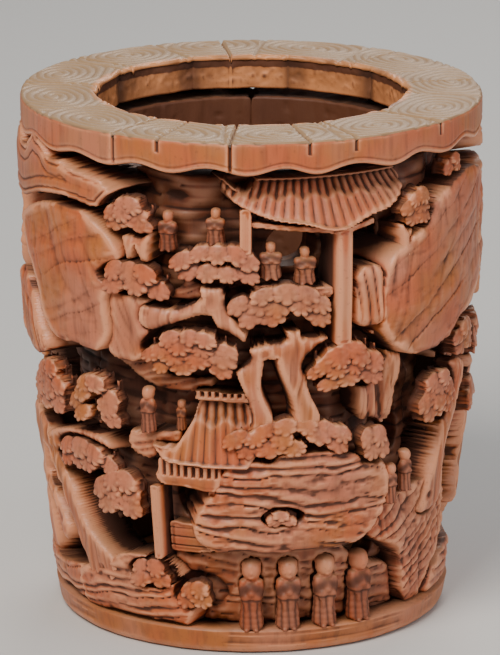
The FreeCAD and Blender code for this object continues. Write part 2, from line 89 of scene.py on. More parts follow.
@dataclass(frozen=True)
class Noise:
    """Smooth seeded value noise over millimetre coordinates."""

    seed: int
    size: int = 32

    def at(self, x: Array, y: Array, z: Array) -> Array:
        """Value between -1 and 1 at each point.

        Args:
            x: first coordinate, in units of one noise cell.
            y: second coordinate.
            z: third coordinate.

        Returns:
            The interpolated lattice values.
        """
        table = np.random.default_rng(self.seed).uniform(-1, 1, (self.size,) * 3)
        point = np.stack(np.broadcast_arrays(x, y, z), -1)
        cell = np.floor(point).astype(int)
        part = point - cell
        part = part * part * (3 - 2 * part)
        total = np.zeros(point.shape[:-1])
        for corner in range(8):
            step = np.array([corner & 1, corner >> 1 & 1, corner >> 2 & 1])
            index = (cell + step) % self.size
            weight = np.prod(np.where(step == 1, part, 1 - part), -1)
            total += weight * table[index[..., 0], index[..., 1], index[..., 2]]
        return total

    def fractal(self, x: Array, y: Array, z: Array, octaves: int = 3) -> Array:
        """Sum of octaves of the noise, each half as strong and twice as fine.

        Args:
            x: first coordinate, in cells of the coarsest octave.
            y: second coordinate.
            z: third coordinate.
            octaves: how many layers are added.

        Returns:
            The summed field, about -1 to 1.
        """
        total = np.zeros(np.broadcast(x, y, z).shape)
        for octave in range(octaves):
            k = 2.0 ** octave
            total = total + self.at(x * k + octave * 7.3, y * k, z * k) / k
        return total / 1.6


def blurred(values: Array, passes: int = 1) -> Array:
    """Values averaged with their neighbours.

    Args:
        values: a grid of values.
        passes: how many times the 3 by 3 average is taken.

    Returns:
        The smoothed grid.
    """
    for _ in range(passes):
        pad = np.pad(values, 1, mode="edge")
        rows = pad[:-2] + 2 * pad[1:-1] + pad[2:]
        values = (rows[:, :-2] + 2 * rows[:, 1:-1] + rows[:, 2:]) / 16
    return values


def smoothstep(low: float, high: float, values: Array) -> Array:
    """Smooth rise from 0 at low to 1 at high."""
    t = np.clip((values - low) / (high - low), 0, 1)
    return t * t * (3 - 2 * t)


def inset(mask: Array, cell: float, reach: float) -> Array:
    """Distance of each kept point from the edge of the mask.

    Args:
        mask: which points of the grid are kept.
        cell: spacing of the grid in millimetres.
        reach: the largest distance that matters.

    Returns:
        Distances in millimetres, 0 outside and at most reach inside.
    """
    distance = np.where(mask, reach, 0.0)
    for _ in range(int(reach / cell) + 1):
        pad = np.pad(distance, 1)
        straight = np.minimum.reduce([pad[:-2, 1:-1], pad[2:, 1:-1], pad[1:-1, :-2], pad[1:-1, 2:]])
        slanted = np.minimum.reduce([pad[:-2, :-2], pad[:-2, 2:], pad[2:, :-2], pad[2:, 2:]])
        distance = np.minimum(distance, np.minimum(straight + cell, slanted + 1.414 * cell))
        distance[~mask] = 0
    return blurred(distance, 1)


def rounded(distance: Array, radius: float) -> Array:
    """How far a rounded edge falls below its face.

    Args:
        distance: distance in from the edge.
        radius: radius of the rounding.

    Returns:
        The drop, radius at the edge and 0 from one radius in.
    """
    t = 1 - np.clip(distance / radius, 0, 1)
    return radius * (1 - np.sqrt(np.clip(1 - t * t, 0, 1)))


@dataclass
class Patch:
    """One piece of relief as grids over angle and height, in radians and millimetres."""

    angle: Array
    height: Array
    front: Array
    back: Array
    keep: Array
    cell: float
    tint: Array | float = 0.5
    warmth: Array | float = 0.5
    even: bool = True
    # How much the outline edges are raised in relief: partly rubbed wear, partly a painted highlight.
    edge_wear_and_highlight: float = 0.3

    @classmethod
    def spanning(cls, angles: tuple[float, float], heights: tuple[float, float], cell: float,
                 radius: float) -> "Patch":
        """Empty patch over a span.

        Args:
            angles: first and last angle in radians.
            heights: lowest and highest point in millimetres.
            cell: grid spacing in millimetres.
            radius: radius at which the spacing holds.

        Returns:
            A patch with no relief yet.
        """
        across = max(int(math.ceil((angles[1] - angles[0]) * radius / cell)), 2) + 1
        along = max(int(math.ceil((heights[1] - heights[0]) / cell)), 2) + 1
        angle, height = np.meshgrid(np.linspace(*angles, across), np.linspace(*heights, along))
        blank = np.zeros(angle.shape)
        return cls(angle, height, blank.copy(), blank.copy(), np.ones(angle.shape, bool), cell)

    @property
    def middle(self) -> float:
        """Angle of the patch's middle."""
        return float(self.angle.mean())

    def flat(self, radius: float = 60.0) -> tuple[Array, Array]:
        """Millimetre coordinates on the unrolled surface, round the pot and up it."""
        return self.angle * radius, self.height

    def read(self, tree: BVHTree, floor: float = 0.0) -> Array:
        """Radius of the first surface met from outside at each grid point.

        Args:
            tree: the solid to read, in millimetres.
            floor: radius below which a hit counts as a miss.

        Returns:
            Radii, with nan where the ray missed.
        """
        radii = np.full(self.angle.size, np.nan)
        sines, cosines = np.sin(self.angle).ravel(), np.cos(self.angle).ravel()
        for index, height in enumerate(self.height.ravel()):
            outward = Vector((sines[index], -cosines[index], 0))
            start = outward * FAR + Vector((0, 0, height))
            hit = tree.ray_cast(start, -outward, FAR - floor)
            if hit[0] is not None:
                radii[index] = FAR - hit[3]
        return radii.reshape(self.angle.shape)

    @staticmethod
    def even_outline(slab: bmesh.types.BMesh, passes: int = 5) -> None:
        """Evens out the steps that the grid leaves along the outline.

        Args:
            slab: the flat trimmed grid.
            passes: how many times each outline point moves towards its neighbours.
        """
        rim = [v for v in slab.verts if v.is_boundary]
        for _ in range(passes):
            moved = []
            for vert in rim:
                beside = [e.other_vert(vert).co for e in vert.link_edges if e.is_boundary]
                mean = sum(beside, Vector()) / len(beside)
                moved.append(vert.co.lerp(mean, 0.5))
            for vert, point in zip(rim, moved):
                vert.co = point

    @staticmethod
    def hew_sides(slab: bmesh.types.BMesh, cuts: int = 4, rough: float = 0.55, under: float = 0.7) -> None:
        """Hews the side walls: rough, and undercut behind the front's edge.

        Args:
            slab: the closed slab, in metres.
            cuts: rows of points added between back and front.
            rough: how uneven the walls become, in millimetres.
            under: how far they draw in half way back, in millimetres.
        """
        side = slab.verts.layers.int["side"]
        across = [e for e in slab.edges if e.verts[0][side] != e.verts[1][side]]
        before = set(slab.verts)
        made = bmesh.ops.subdivide_edges(slab, edges=across, cuts=cuts, use_grid_fill=True)["geom_inner"]
        added = [v for v in made if isinstance(v, bmesh.types.BMVert) and v not in before]
        if not added:
            return
        slab.normal_update()
        spots = np.array([v.co[:] for v in added]) / MM
        bumps = Noise(29).fractal(spots[:, 0] / 2.6, spots[:, 1] / 2.6, spots[:, 2] / 2.2, 2)
        moves = np.clip(under * 0.6 + rough * bumps, 0, 1.6) * MM
        for vert, move in zip(added, moves.tolist()):
            vert.co -= vert.normal * move

    def add_to(self, target: bmesh.types.BMesh) -> None:
        """Adds the patch to a mesh as a closed slab between its back and its front.

        Args:
            target: the mesh of the piece, in metres.
        """
        rows, columns = self.front.shape
        slab = bmesh.new()
        bmesh.ops.create_grid(slab, x_segments=columns - 1, y_segments=rows - 1, size=0.5)
        shade = self.shade()
        cell = slab.verts.layers.int.new("cell")
        side = slab.verts.layers.int.new("side")
        layers = {name: slab.verts.layers.float.new(name) for name in shade}
        kept = self.keep.ravel().tolist()
        for vert in slab.verts:
            column = round((vert.co.x + 0.5) * (columns - 1))
            row = round((vert.co.y + 0.5) * (rows - 1))
            vert[cell] = row * columns + column
        cut_away = [v for v in slab.verts if not kept[v[cell]]]
        bmesh.ops.delete(slab, geom=cut_away, context="VERTS")
        loose = [v for v in slab.verts if not v.link_faces]
        bmesh.ops.delete(slab, geom=loose, context="VERTS")
        if self.even:
            self.even_outline(slab)
        raised = bmesh.ops.extrude_face_region(slab, geom=slab.faces[:])["geom"]
        for vert in raised:
            if isinstance(vert, bmesh.types.BMVert):
                vert[side] = 1
        radii = [np.broadcast_to(r, self.angle.shape).ravel().tolist() for r in (self.back, self.front)]
        first, wide = self.angle[0, 0], self.angle[0, -1] - self.angle[0, 0]
        low, tall = self.height[0, 0], self.height[-1, 0] - self.height[0, 0]
        values = {name: grid.ravel().tolist() for name, grid in shade.items()}
        for vert in slab.verts:
            front, index = vert[side], vert[cell]
            turn = first + (vert.co.x + 0.5) * wide
            height = low + (vert.co.y + 0.5) * tall
            radius = radii[front][index]
            vert.co = Vector((math.sin(turn) * radius, -math.cos(turn) * radius, height)) * MM
            for name, layer in layers.items():
                # Back points get relief 0.2, so the side walls darken towards the back: painted shade.
                vert[layer] = values[name][index] if front or name != "relief" else 0.2
        bmesh.ops.recalc_face_normals(slab, faces=slab.faces[:])
        if self.even:
            self.hew_sides(slab)
        slab.verts.layers.int.remove(slab.verts.layers.int["cell"])
        slab.verts.layers.int.remove(slab.verts.layers.int["side"])
        carried = bpy.data.meshes.new("slab")
        slab.to_mesh(carried)
        slab.free()
        target.from_mesh(carried)
        bpy.data.meshes.remove(carried)

    def shade(self) -> dict[str, Array]:
        """Attributes for the finish: relief is above half on ridges, which the material paints pale as wear
        and a painted highlight, and below it in cuts, which it paints dark as painted shade.

        Returns:
            Grids of values between 0 and 1, by attribute name.
        """
        weight = self.keep.astype(float)
        shares = np.maximum(blurred(weight, 4), 1e-3), np.maximum(blurred(weight, 24), 1e-3)
        held = np.where(self.keep, self.front, 0.0)
        fine = self.front - blurred(held, 4) / shares[0]
        broad = self.front - blurred(held, 24) / shares[1]
        # Relief rises along the outline, so the edges turn pale: partly rubbed wear, partly a painted
        # highlight.
        rubbed = (1 - shares[0]) * self.edge_wear_and_highlight
        relief = 0.5 + fine * 0.9 + broad * 0.28 + rubbed
        tint, warmth = (np.broadcast_to(np.asarray(v, float), held.shape) for v in (self.tint, self.warmth))
        return {"relief": np.clip(relief, 0, 1), "tint": np.clip(tint, 0, 1), "warmth": warmth}


@dataclass
class Solid:
    """One carved solid of the frame, in millimetres."""

    points: Array
    faces: list[tuple[int, int, int]]

    @property
    def tree(self) -> BVHTree:
        """Search tree of the solid's faces."""
        return BVHTree.FromPolygons(self.points.tolist(), self.faces)

    @property
    def middle(self) -> float:
        """Angle of the solid's middle in radians."""
        x, y = self.points[:, 0], self.points[:, 1]
        return math.atan2(x.mean(), -y.mean())

    @property
    def angles(self) -> tuple[float, float]:
        """First and last angle in radians."""
        centre = self.middle
        x, y = self.points[:, 0], self.points[:, 1]
        across = x * math.cos(centre) + y * math.sin(centre)
        out = x * math.sin(centre) - y * math.cos(centre)
        turn = np.arctan2(across, out)
        return centre + float(turn.min()), centre + float(turn.max())

    @property
    def face_angles(self) -> tuple[float, float]:
        """First and last angle of the outline where it meets the outer surface, in radians."""
        centre = self.middle
        across = self.points[:, 0] * math.cos(centre) + self.points[:, 1] * math.sin(centre)
        low, high = float(across.min()) / self.reach, float(across.max()) / self.reach
        return centre + math.asin(low), centre + math.asin(high)

    @property
    def heights(self) -> tuple[float, float]:
        """Lowest and highest point."""
        return float(self.points[:, 2].min()), float(self.points[:, 2].max())

    @property
    def reach(self) -> float:
        """Largest radius."""
        return float(np.hypot(self.points[:, 0], self.points[:, 1]).max())

    @property
    def root(self) -> float:
        """Smallest radius."""
        return float(np.hypot(self.points[:, 0], self.points[:, 1]).min())


def solids_of(node: str, frame: dict) -> list[Solid]:
    """Separate solids of one node of the frame.

    Args:
        node: the node's name.

    Returns:
        One Solid for each shell, in order of angle and height.
    """
    bm = bmesh.new()
    bm.from_mesh(frame["nodes"][node].data)
    bmesh.ops.remove_doubles(bm, verts=bm.verts[:], dist=1e-6)
    bm.verts.ensure_lookup_table()
    bm.verts.index_update()
    seen = [False] * len(bm.verts)
    found = []
    for seed in bm.verts:
        if seen[seed.index]:
            continue
        seen[seed.index] = True
        front, shell = [seed], [seed]
        while front:
            vert = front.pop()
            for edge in vert.link_edges:
                other = edge.other_vert(vert)
                if not seen[other.index]:
                    seen[other.index] = True
                    front.append(other)
                    shell.append(other)
        order = {v.index: i for i, v in enumerate(shell)}
        faces = {f for v in shell for f in v.link_faces}
        corners = sorted(tuple(order[v.index] for v in f.verts) for f in faces)
        found.append(Solid(np.array([v.co[:] for v in shell]) / MM, corners))
    bm.free()
    return sorted(found, key=lambda s: (round(s.middle, 3), round(s.heights[0], 2)))


def finish_mesh(bm: bmesh.types.BMesh, name: str) -> bpy.types.Object:
    """Turns a finished bmesh into a smooth-shaded object at the origin.

    Args:
        bm: the piece's mesh, freed here.
        name: the piece's name.

    Returns:
        The new object.
    """
    mesh = bpy.data.meshes.new(name)
    bm.to_mesh(mesh)
    bm.free()
    mesh.shade_smooth()
    made = bpy.data.objects.new(name, mesh)
    bpy.context.scene.collection.objects.link(made)
    return made


def place(made: bpy.types.Object, nodes: Iterable[str], finish: bpy.types.Material) -> None:
    """Gives a piece its finish, fixes it to the root body and hides the nodes that it replaces.

    Args:
        made: the piece.
        nodes: the nodes that it replaces.
        finish: its material.
    """
    made.data.materials.clear()
    made.data.materials.append(finish)
    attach(made, "root")
    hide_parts(*nodes)
    log.info("%s: %d faces", made.name, len(made.data.polygons))


# ------------------------------------------------------------------ the carver's textures

class Texture:
    """A way of cutting rock."""

    def cut(self, u: Array, v: Array) -> Array:
        """Depth cut away at each point of the unrolled surface.

        Args:
            u: millimetres round the pot.
            v: millimetres up the pot.

        Returns:
            Depths in millimetres.
        """
        raise NotImplementedError


@dataclass(frozen=True)
class Strata(Texture):
    """Layered rock: uneven beds with a rounded lip and a sharp undercut line below each."""

    dip: float = 0.12
    bed: float = 3.2
    depth: float = 1.5
    seed: int = 3
    waviness: float = 1.6

    def cut(self, u: Array, v: Array) -> Array:
        """Cuts the beds."""
        noise = Noise(self.seed)
        sway = noise.fractal(u / 17, v / 9, 0 * u, 3) * self.waviness
        level = (v + self.dip * u + sway) / self.bed
        level = level + 0.45 * noise.at(u / 30 + 5, level * 0.7, 0 * u + 3)
        part = level - np.floor(level)
        bed = np.floor(level)
        thickness = 0.5 + 0.5 * noise.at(u / 15, bed * 3.7 + 0.5, 0 * u + 9)
        lip = 1 - np.sqrt(np.clip(1 - (1 - np.clip(part * 2.2, 0, 1)) ** 2, 0, 1))
        fall = smoothstep(0.35, 1.0, part) * 0.55
        chips = np.clip(noise.fractal(u / 3.2, v / 1.5, 0 * u + 1, 2), 0, 1) * 0.35
        return self.depth * np.clip(thickness * (lip + fall) + chips, 0, 1.6)


@dataclass(frozen=True)
class Crags(Texture):
    """Broken cliff face: long leaning facets that meet in sharp creases, with smaller ones on them."""

    lean: float = 0.35
    wide: float = 7.0
    tall: float = 22.0
    depth: float = 2.0
    seed: int = 41

    def cut(self, u: Array, v: Array) -> Array:
        """Cuts the creases between the facets."""
        noise = Noise(self.seed)
        along = v + 0.25 * u
        across = u + self.lean * v + 2.0 * noise.at(u / 20, v / 20, 0 * u + 7)
        total = np.zeros(u.shape)
        for octave, share in enumerate((1.0, 0.45, 0.22)):
            k = 1.9 ** octave
            field = noise.at(across / self.wide * k, along / self.tall * k, 0 * u + 3.1 * octave)
            total = total + share * (1 - np.clip(np.abs(field) * 2.6, 0, 1)) ** 1.6
        return self.depth * np.clip(total * 0.75, 0, 1.3)


@dataclass(frozen=True)
class Flutes(Texture):
    """Upright folds of a worn cliff face, with soft ridges and narrow grooves."""

    pitch: float = 6.0
    depth: float = 1.3
    lean: float = 0.1
    seed: int = 5

    def cut(self, u: Array, v: Array) -> Array:
        """Cuts the grooves between the folds."""
        noise = Noise(self.seed)
        sway = noise.fractal(u / 22, v / 16, 0 * u, 2) * 2.6
        phase = (u + self.lean * v + sway) / self.pitch
        part = phase - np.floor(phase)
        groove = 1 - np.sin(np.pi * part) ** 0.45
        soft = 0.5 + 0.5 * noise.fractal(u / 6, v / 12, 0 * u + 4, 2)
        return self.depth * np.clip(groove + 0.35 * soft, 0, 1.4)


# ------------------------------------------------------------------ carved pieces

@dataclass
class Workshop:
    """What every carved piece needs: the frame, the finishes and the grid spacing."""

    frame: dict
    finish: bpy.types.Material
    cell: float = 0.5
    fine_cell: float = 0.38

    def solids(self, node: str) -> list[Solid]:
        """Separate solids of one node."""
        return solids_of(node, self.frame)

    def patch_over(self, solid: Solid, cell: float) -> Patch:
        """Patch that reads a solid's outline and outside from the frame.

        Args:
            solid: the solid to read.
            cell: grid spacing in millimetres.

        Returns:
            A patch with the solid's front, kept where the solid is.
        """
        angles, heights = solid.angles, solid.heights
        margin = 2 * cell
        spread = margin / solid.reach
        patch = Patch.spanning((angles[0] - spread, angles[1] + spread),
                               (heights[0] - margin, heights[1] + margin), cell, solid.reach)
        read = patch.read(solid.tree, solid.root - 1)
        patch.keep = blurred((~np.isnan(read)).astype(float), 2) > 0.5
        patch.front = self.filled(read)
        patch.back = np.full(read.shape, solid.root - 0.4)
        return patch

    @staticmethod
    def filled(read: Array) -> Array:
        """Radii with each miss filled from the nearest hits.

        Args:
            read: radii, nan where a ray missed.

        Returns:
            Radii everywhere.
        """
        known = (~np.isnan(read)).astype(float)
        held = np.nan_to_num(read)
        spread, weight = held, known
        for _ in range(6):
            spread, weight = blurred(spread), blurred(weight)
        near = np.where(weight > 1e-3, spread / np.maximum(weight, 1e-3), np.nanmax(read))
        return np.where(known > 0, held, near)

    def make(self, name: str, patches: list[Patch], nodes: list[str], slot: Slot = Slot.CARVING) -> None:
        """Joins patches into one piece that replaces nodes of the frame.

        Args:
            name: the piece's name.
            patches: its patches.
            nodes: the nodes it replaces.
            slot: the record's slot; not used.
        """
        bm = bmesh.new()
        for patch in patches:
            patch.add_to(bm)
        place(finish_mesh(bm, name), nodes, self.finish)


@dataclass
class Motif:
    """A piece carved solid by solid over what the frame gives."""

    shop: Workshop
    node: str

    def build(self) -> None:
        """Makes the piece."""
        patches = [self.carved(solid, index) for index, solid in enumerate(self.shop.solids(self.node))]
        self.shop.make(self.node + "_carving", patches, [self.node])

    def carved(self, solid: Solid, index: int) -> Patch:
        """Carves one solid.

        Args:
            solid: the plain solid of the frame.
            index: its number in the node.

        Returns:
            The finished patch.
        """
        raise NotImplementedError


@dataclass
class Rockwork(Motif):
    """A cliff, crag or ledge, cut in beds or folds over the solid that the frame gives."""

    textures: list[Texture]
    edge: float = 3.0
    ragged: float = 1.0
    bites: float = 1.6
    swell: float = 0.8

    def carved(self, solid: Solid, index: int) -> Patch:
        """Chips the outline of one rock, rounds its edge and cuts its beds."""
        patch = self.shop.patch_over(solid, self.shop.cell)
        u, v = patch.flat()
        noise = Noise(40 + index)
        inner = inset(patch.keep, patch.cell, self.edge + 3)
        chipped = noise.fractal(u / 5, v / 3, 0 * u, 3) * self.ragged
        chipped = chipped + self.bites * np.clip(noise.at(u / 9, v / 7, 0 * u + 11), 0, 1)
        patch.keep &= inner > np.clip(chipped, 0, None)
        inner = inset(patch.keep, patch.cell, self.edge + 3)
        cut = sum(texture.cut(u, v) for texture in self.textures)
        swell = noise.fractal(u / 14, v / 11, 0 * u + 2, 2) * self.swell
        front = patch.front - rounded(inner, self.edge) * 0.8 - cut * np.clip(inner / 1.5, 0.3, 1)
        front = front - self.swell + np.clip(swell, -self.swell, self.swell)
        patch.front = np.maximum(front, patch.back + 0.5)
        return patch


@dataclass
class Limbs(Motif):
    """Trunks and branches: rounded, with long bark furrows and a few knots, free of the wall."""

    furrow: float = 0.34
    thickness: float = 4.6
    warmth: float = 0.6

    def carved(self, solid: Solid, index: int) -> Patch:
        """Rounds one limb and cuts its bark."""
        patch = self.shop.patch_over(solid, self.shop.fine_cell)
        u, v = patch.flat()
        inner = inset(patch.keep, patch.cell, 4.0)
        noise = Noise(17)
        across = u + noise.fractal(u / 9, v / 14, 0 * u, 2) * 1.6
        line = noise.at(across, v / 12, 0 * u) + 0.6 * noise.at(across / 0.6, v / 9, 0 * u + 5)
        furrows = self.furrow * np.clip(0.5 - line, 0, 1)
        hollow = np.clip(noise.at(u / 3.5, v / 5, 0 * u + 8) - 0.55, 0, 1) * 1.8
        patch.front = patch.front - rounded(inner, 3.0) * 0.9 - furrows - hollow
        patch.back = np.maximum(patch.back, patch.front - self.thickness)
        patch.warmth = self.warmth
        return patch


@dataclass
class Canopies(Motif):
    """Pine foliage: rows of small domed pads with scalloped lower edges, and twigs in the gaps."""

    thickness: float = 6.4
    warmth: float = 0.45
    seed: int = 0
    pad_width: float = 7.4
    row_height: float = 4.6
    spray_height: float = 7.0
    floor: float = 3.5

    def pads(self, width: float, tall: float, draw: np.random.Generator) -> list[tuple[float, ...]]:
        """Where the pads of one canopy lie, in rows that bend down to its sides.

        Args:
            width: the canopy's width in millimetres.
            tall: its height.
            draw: seeded random source.

        Returns:
            Centre, half width, half height, level and tilt of each pad.
        """
        laid = []
        rows = max(2, round(tall / self.row_height))
        for row in range(rows):
            up = (row + 0.5) / rows * 2 - 1
            room = width * math.sqrt(max(1 - (abs(up) ** 1.5 if up > 0 else 0.35 * up * up), 0.05))
            count = max(2, round(room / self.pad_width))
            for place_in_row in range(count):
                share = (place_in_row + 0.5 + 0.25 * (row % 2) * (-1) ** row) / count * 2 - 1
                middle = abs(share) < 0.45
                if row < rows - 1 and middle and draw.random() < 0.30:
                    continue
                x = share * (room / 2 - self.pad_width * 0.30) + draw.normal() * 0.45
                y = (up * 0.80 - 0.22 * share * share * (up > 0)) * tall * 0.42 + draw.normal() * 0.35
                level = 1.1 + 0.9 * row / rows - 0.7 * share * share + draw.uniform(-0.45, 0.45)
                laid.append((x, y, room / count * draw.uniform(0.50, 0.62),
                             tall / rows * draw.uniform(0.56, 0.70), level, -0.35 * share))
        return laid

    def pad(self, u: Array, v: Array, shape: tuple[float, ...], scallops: int) -> Array:
        """Height of one pad, -inf outside it.

        Args:
            u: millimetres round the pot from the canopy's middle.
            v: millimetres up from its middle.
            shape: centre, half width, half height, level and tilt.
            scallops: how many scallops its lower edge has.

        Returns:
            Heights in millimetres over the canopy's floor.
        """
        x, y, a, b, level, tilt = shape
        across, up = (u - x) / a, (v - y - tilt * (u - x)) / b
        turn = np.arctan2(up, across)
        reach = np.hypot(across, up)
        lobes = 0.24 * (1 - np.abs(np.sin(turn * scallops)) ** 0.7)
        outline = 1 - lobes * smoothstep(0.25, -0.2, up)
        share = reach / outline
        dome = np.sqrt(np.clip(1 - share ** 2, 0, 1))
        below = smoothstep(0.4, -0.3, up)
        ribs = 0.22 * np.abs(np.sin(turn * scallops)) ** 0.7 * smoothstep(0.25, 0.8, share) * below
        raised = level + 1.25 * dome ** 0.75 + 0.35 * np.clip(-up, -0.5, 0.8) + ribs - 0.3
        return np.where(share < 1, raised, -np.inf)

    def carved(self, solid: Solid, index: int) -> Patch:
        """Lays the pads of one canopy, with twigs between them."""
        draw = np.random.default_rng(self.seed * 100 + index)
        span, (low, high) = solid.face_angles, solid.heights
        patch = Patch.spanning(span, solid.heights, self.shop.fine_cell * 0.9, solid.reach)
        width, tall = (span[1] - span[0]) * solid.reach, high - low
        u = (patch.angle - patch.middle) * solid.reach
        v = patch.height - (low + high) / 2
        crown = np.full(u.shape, -np.inf)
        for shape in self.pads(width, tall, draw):
            crown = np.maximum(crown, self.pad(u, v, shape, int(draw.integers(3, 5))))
        heights = np.where(np.isfinite(crown), crown, self.twigs(u, v, width, tall))
        patch.keep = np.isfinite(heights)
        crust = Noise(60 + index).fractal(u / 1.3, v / 1.1, 0 * u, 2) * 0.16
        floor = solid.reach - self.floor
        patch.front = np.minimum(floor + np.where(patch.keep, heights, 0) + crust, solid.reach)
        patch.back = np.full(u.shape, max(solid.reach - self.thickness, solid.root))
        patch.warmth = self.warmth + 0.25 * Noise(7).at(u / 9, v / 9, 0 * u + index)
        return patch

    def twigs(self, u: Array, v: Array, width: float, tall: float) -> Array:
        """Fan of twigs behind the pads, -inf in the gaps between them.

        Args:
            u: millimetres round the pot from the canopy's middle.
            v: millimetres up from its middle.
            width: the canopy's width.
            tall: its height.

        Returns:
            Heights in millimetres over the canopy's floor.
        """
        foot = -tall * 0.55
        rise = np.clip((v - foot) / (tall * 0.6), 0.02, 1)
        fan = u / (1.2 + rise * width * 0.36)
        ribs = np.abs(np.sin(fan * math.pi * max(width / 8, 1.6)))
        inside = (u / width) ** 2 + (v / tall) ** 2 < 0.19
        if tall < self.spray_height:
            return np.where(inside, -0.9 - 0.4 * ribs, -np.inf)
        return np.where(inside & (np.abs(fan) < 1) & (ribs < 0.55), -0.9 - ribs, -np.inf)


@dataclass
class TiledRoof(Motif):
    """Roof of round tile rolls that fan out to a raised, curling eave."""

    rolls: int = 22
    fan: float = 0.25
    lift: float = 0.7
    shadow: float = 0.60

    thickness: float = 9.0
    warmth: float = 0.42

    def carved(self, solid: Solid, index: int) -> Patch:
        """Cuts the rolls of one roof."""
        patch = self.shop.patch_over(solid, self.shop.fine_cell * 0.9)
        inner = inset(patch.keep, patch.cell, 4.0)
        low, high = solid.heights
        rise = (patch.height - low) / max(high - low, 1)
        share = (patch.angle - patch.middle) / (solid.angles[1] - solid.angles[0])
        phase = share * self.rolls * (1 + self.fan * (rise - 0.5))
        roll = np.abs(np.sin(np.pi * phase)) ** 0.6
        trim = smoothstep(0.6, 1.4, inner)
        upper = smoothstep(self.shadow, self.shadow + 0.12, rise + 0.05 * np.sin(phase * 2.3))
        profile = self.lift * (roll - 1) * (1 + 1.2 * upper)
        fine = 0.12 * np.abs(np.sin(2 * np.pi * phase)) * (1 - upper)
        patch.front = patch.front - rounded(inner, 0.8) + (profile - 0.5 - fine - 0.9 * upper) * trim
        patch.warmth = self.warmth
        patch.back = np.maximum(patch.back, patch.front - self.thickness)
        return patch


@dataclass
class Joinery(Motif):
    """Posts, beams, railings and plinths: straight faces with softened edges and a sunk panel line."""

    panel: float = 0.35
    courses: float = 0.0
    slots: float = 0.0
    thickness: float = 3.4

    def carved(self, solid: Solid, index: int) -> Patch:
        """Softens one post or beam, and cuts its panel line, courses and slots."""
        patch = self.shop.patch_over(solid, self.shop.fine_cell)
        u, v = patch.flat()
        inner = inset(patch.keep, patch.cell, 3.0)
        worn = Noise(71).fractal(u / 3, v / 7, 0 * u, 2) * 0.12
        line = self.panel * np.exp(-((inner - 1.3) / 0.28) ** 2)
        steps = 0.0
        if self.courses:
            part = v / self.courses - np.floor(v / self.courses)
            steps = 0.6 * smoothstep(0.12, 0.0, np.minimum(part, 1 - part))
        if self.slots:
            part = u / self.slots - np.floor(u / self.slots)
            low, high = solid.heights
            upper = smoothstep(low + 0.42 * (high - low), low + 0.5 * (high - low), v)
            steps = steps + 1.5 * smoothstep(0.28, 0.18, np.abs(part - 0.5)) * upper * (inner > 0.5)
        patch.front = patch.front - rounded(inner, 0.9) - line - worn - steps - 0.1
        patch.back = np.maximum(patch.back, patch.front - self.thickness)
        return patch


@dataclass
class CloudBand(Motif):
    """Flat cloud hook, cut free behind, with a rolled edge and two lines engraved inside it."""

    thickness: float = 4.2
    swell: float = 0.6
    warmth: float = 0.6

    def carved(self, solid: Solid, index: int) -> Patch:
        """Rolls the edge of one hook and engraves it."""
        patch = self.shop.patch_over(solid, self.shop.cell * 0.85)
        u, v = patch.flat()
        inner = inset(patch.keep, patch.cell, 7.0)
        line = 0.55 * np.exp(-((inner - 2.0) / 0.35) ** 2) + 0.4 * np.exp(-((inner - 5.0) / 0.4) ** 2)
        swell = Noise(23).fractal(u / 16, v / 9, 0 * u, 2) * self.swell
        front = patch.front - rounded(inner, 1.8) - line - self.swell
        patch.front = front + np.clip(swell, -self.swell, self.swell)
        patch.back = np.maximum(patch.back, patch.front - self.thickness)
        patch.warmth = self.warmth
        return patch


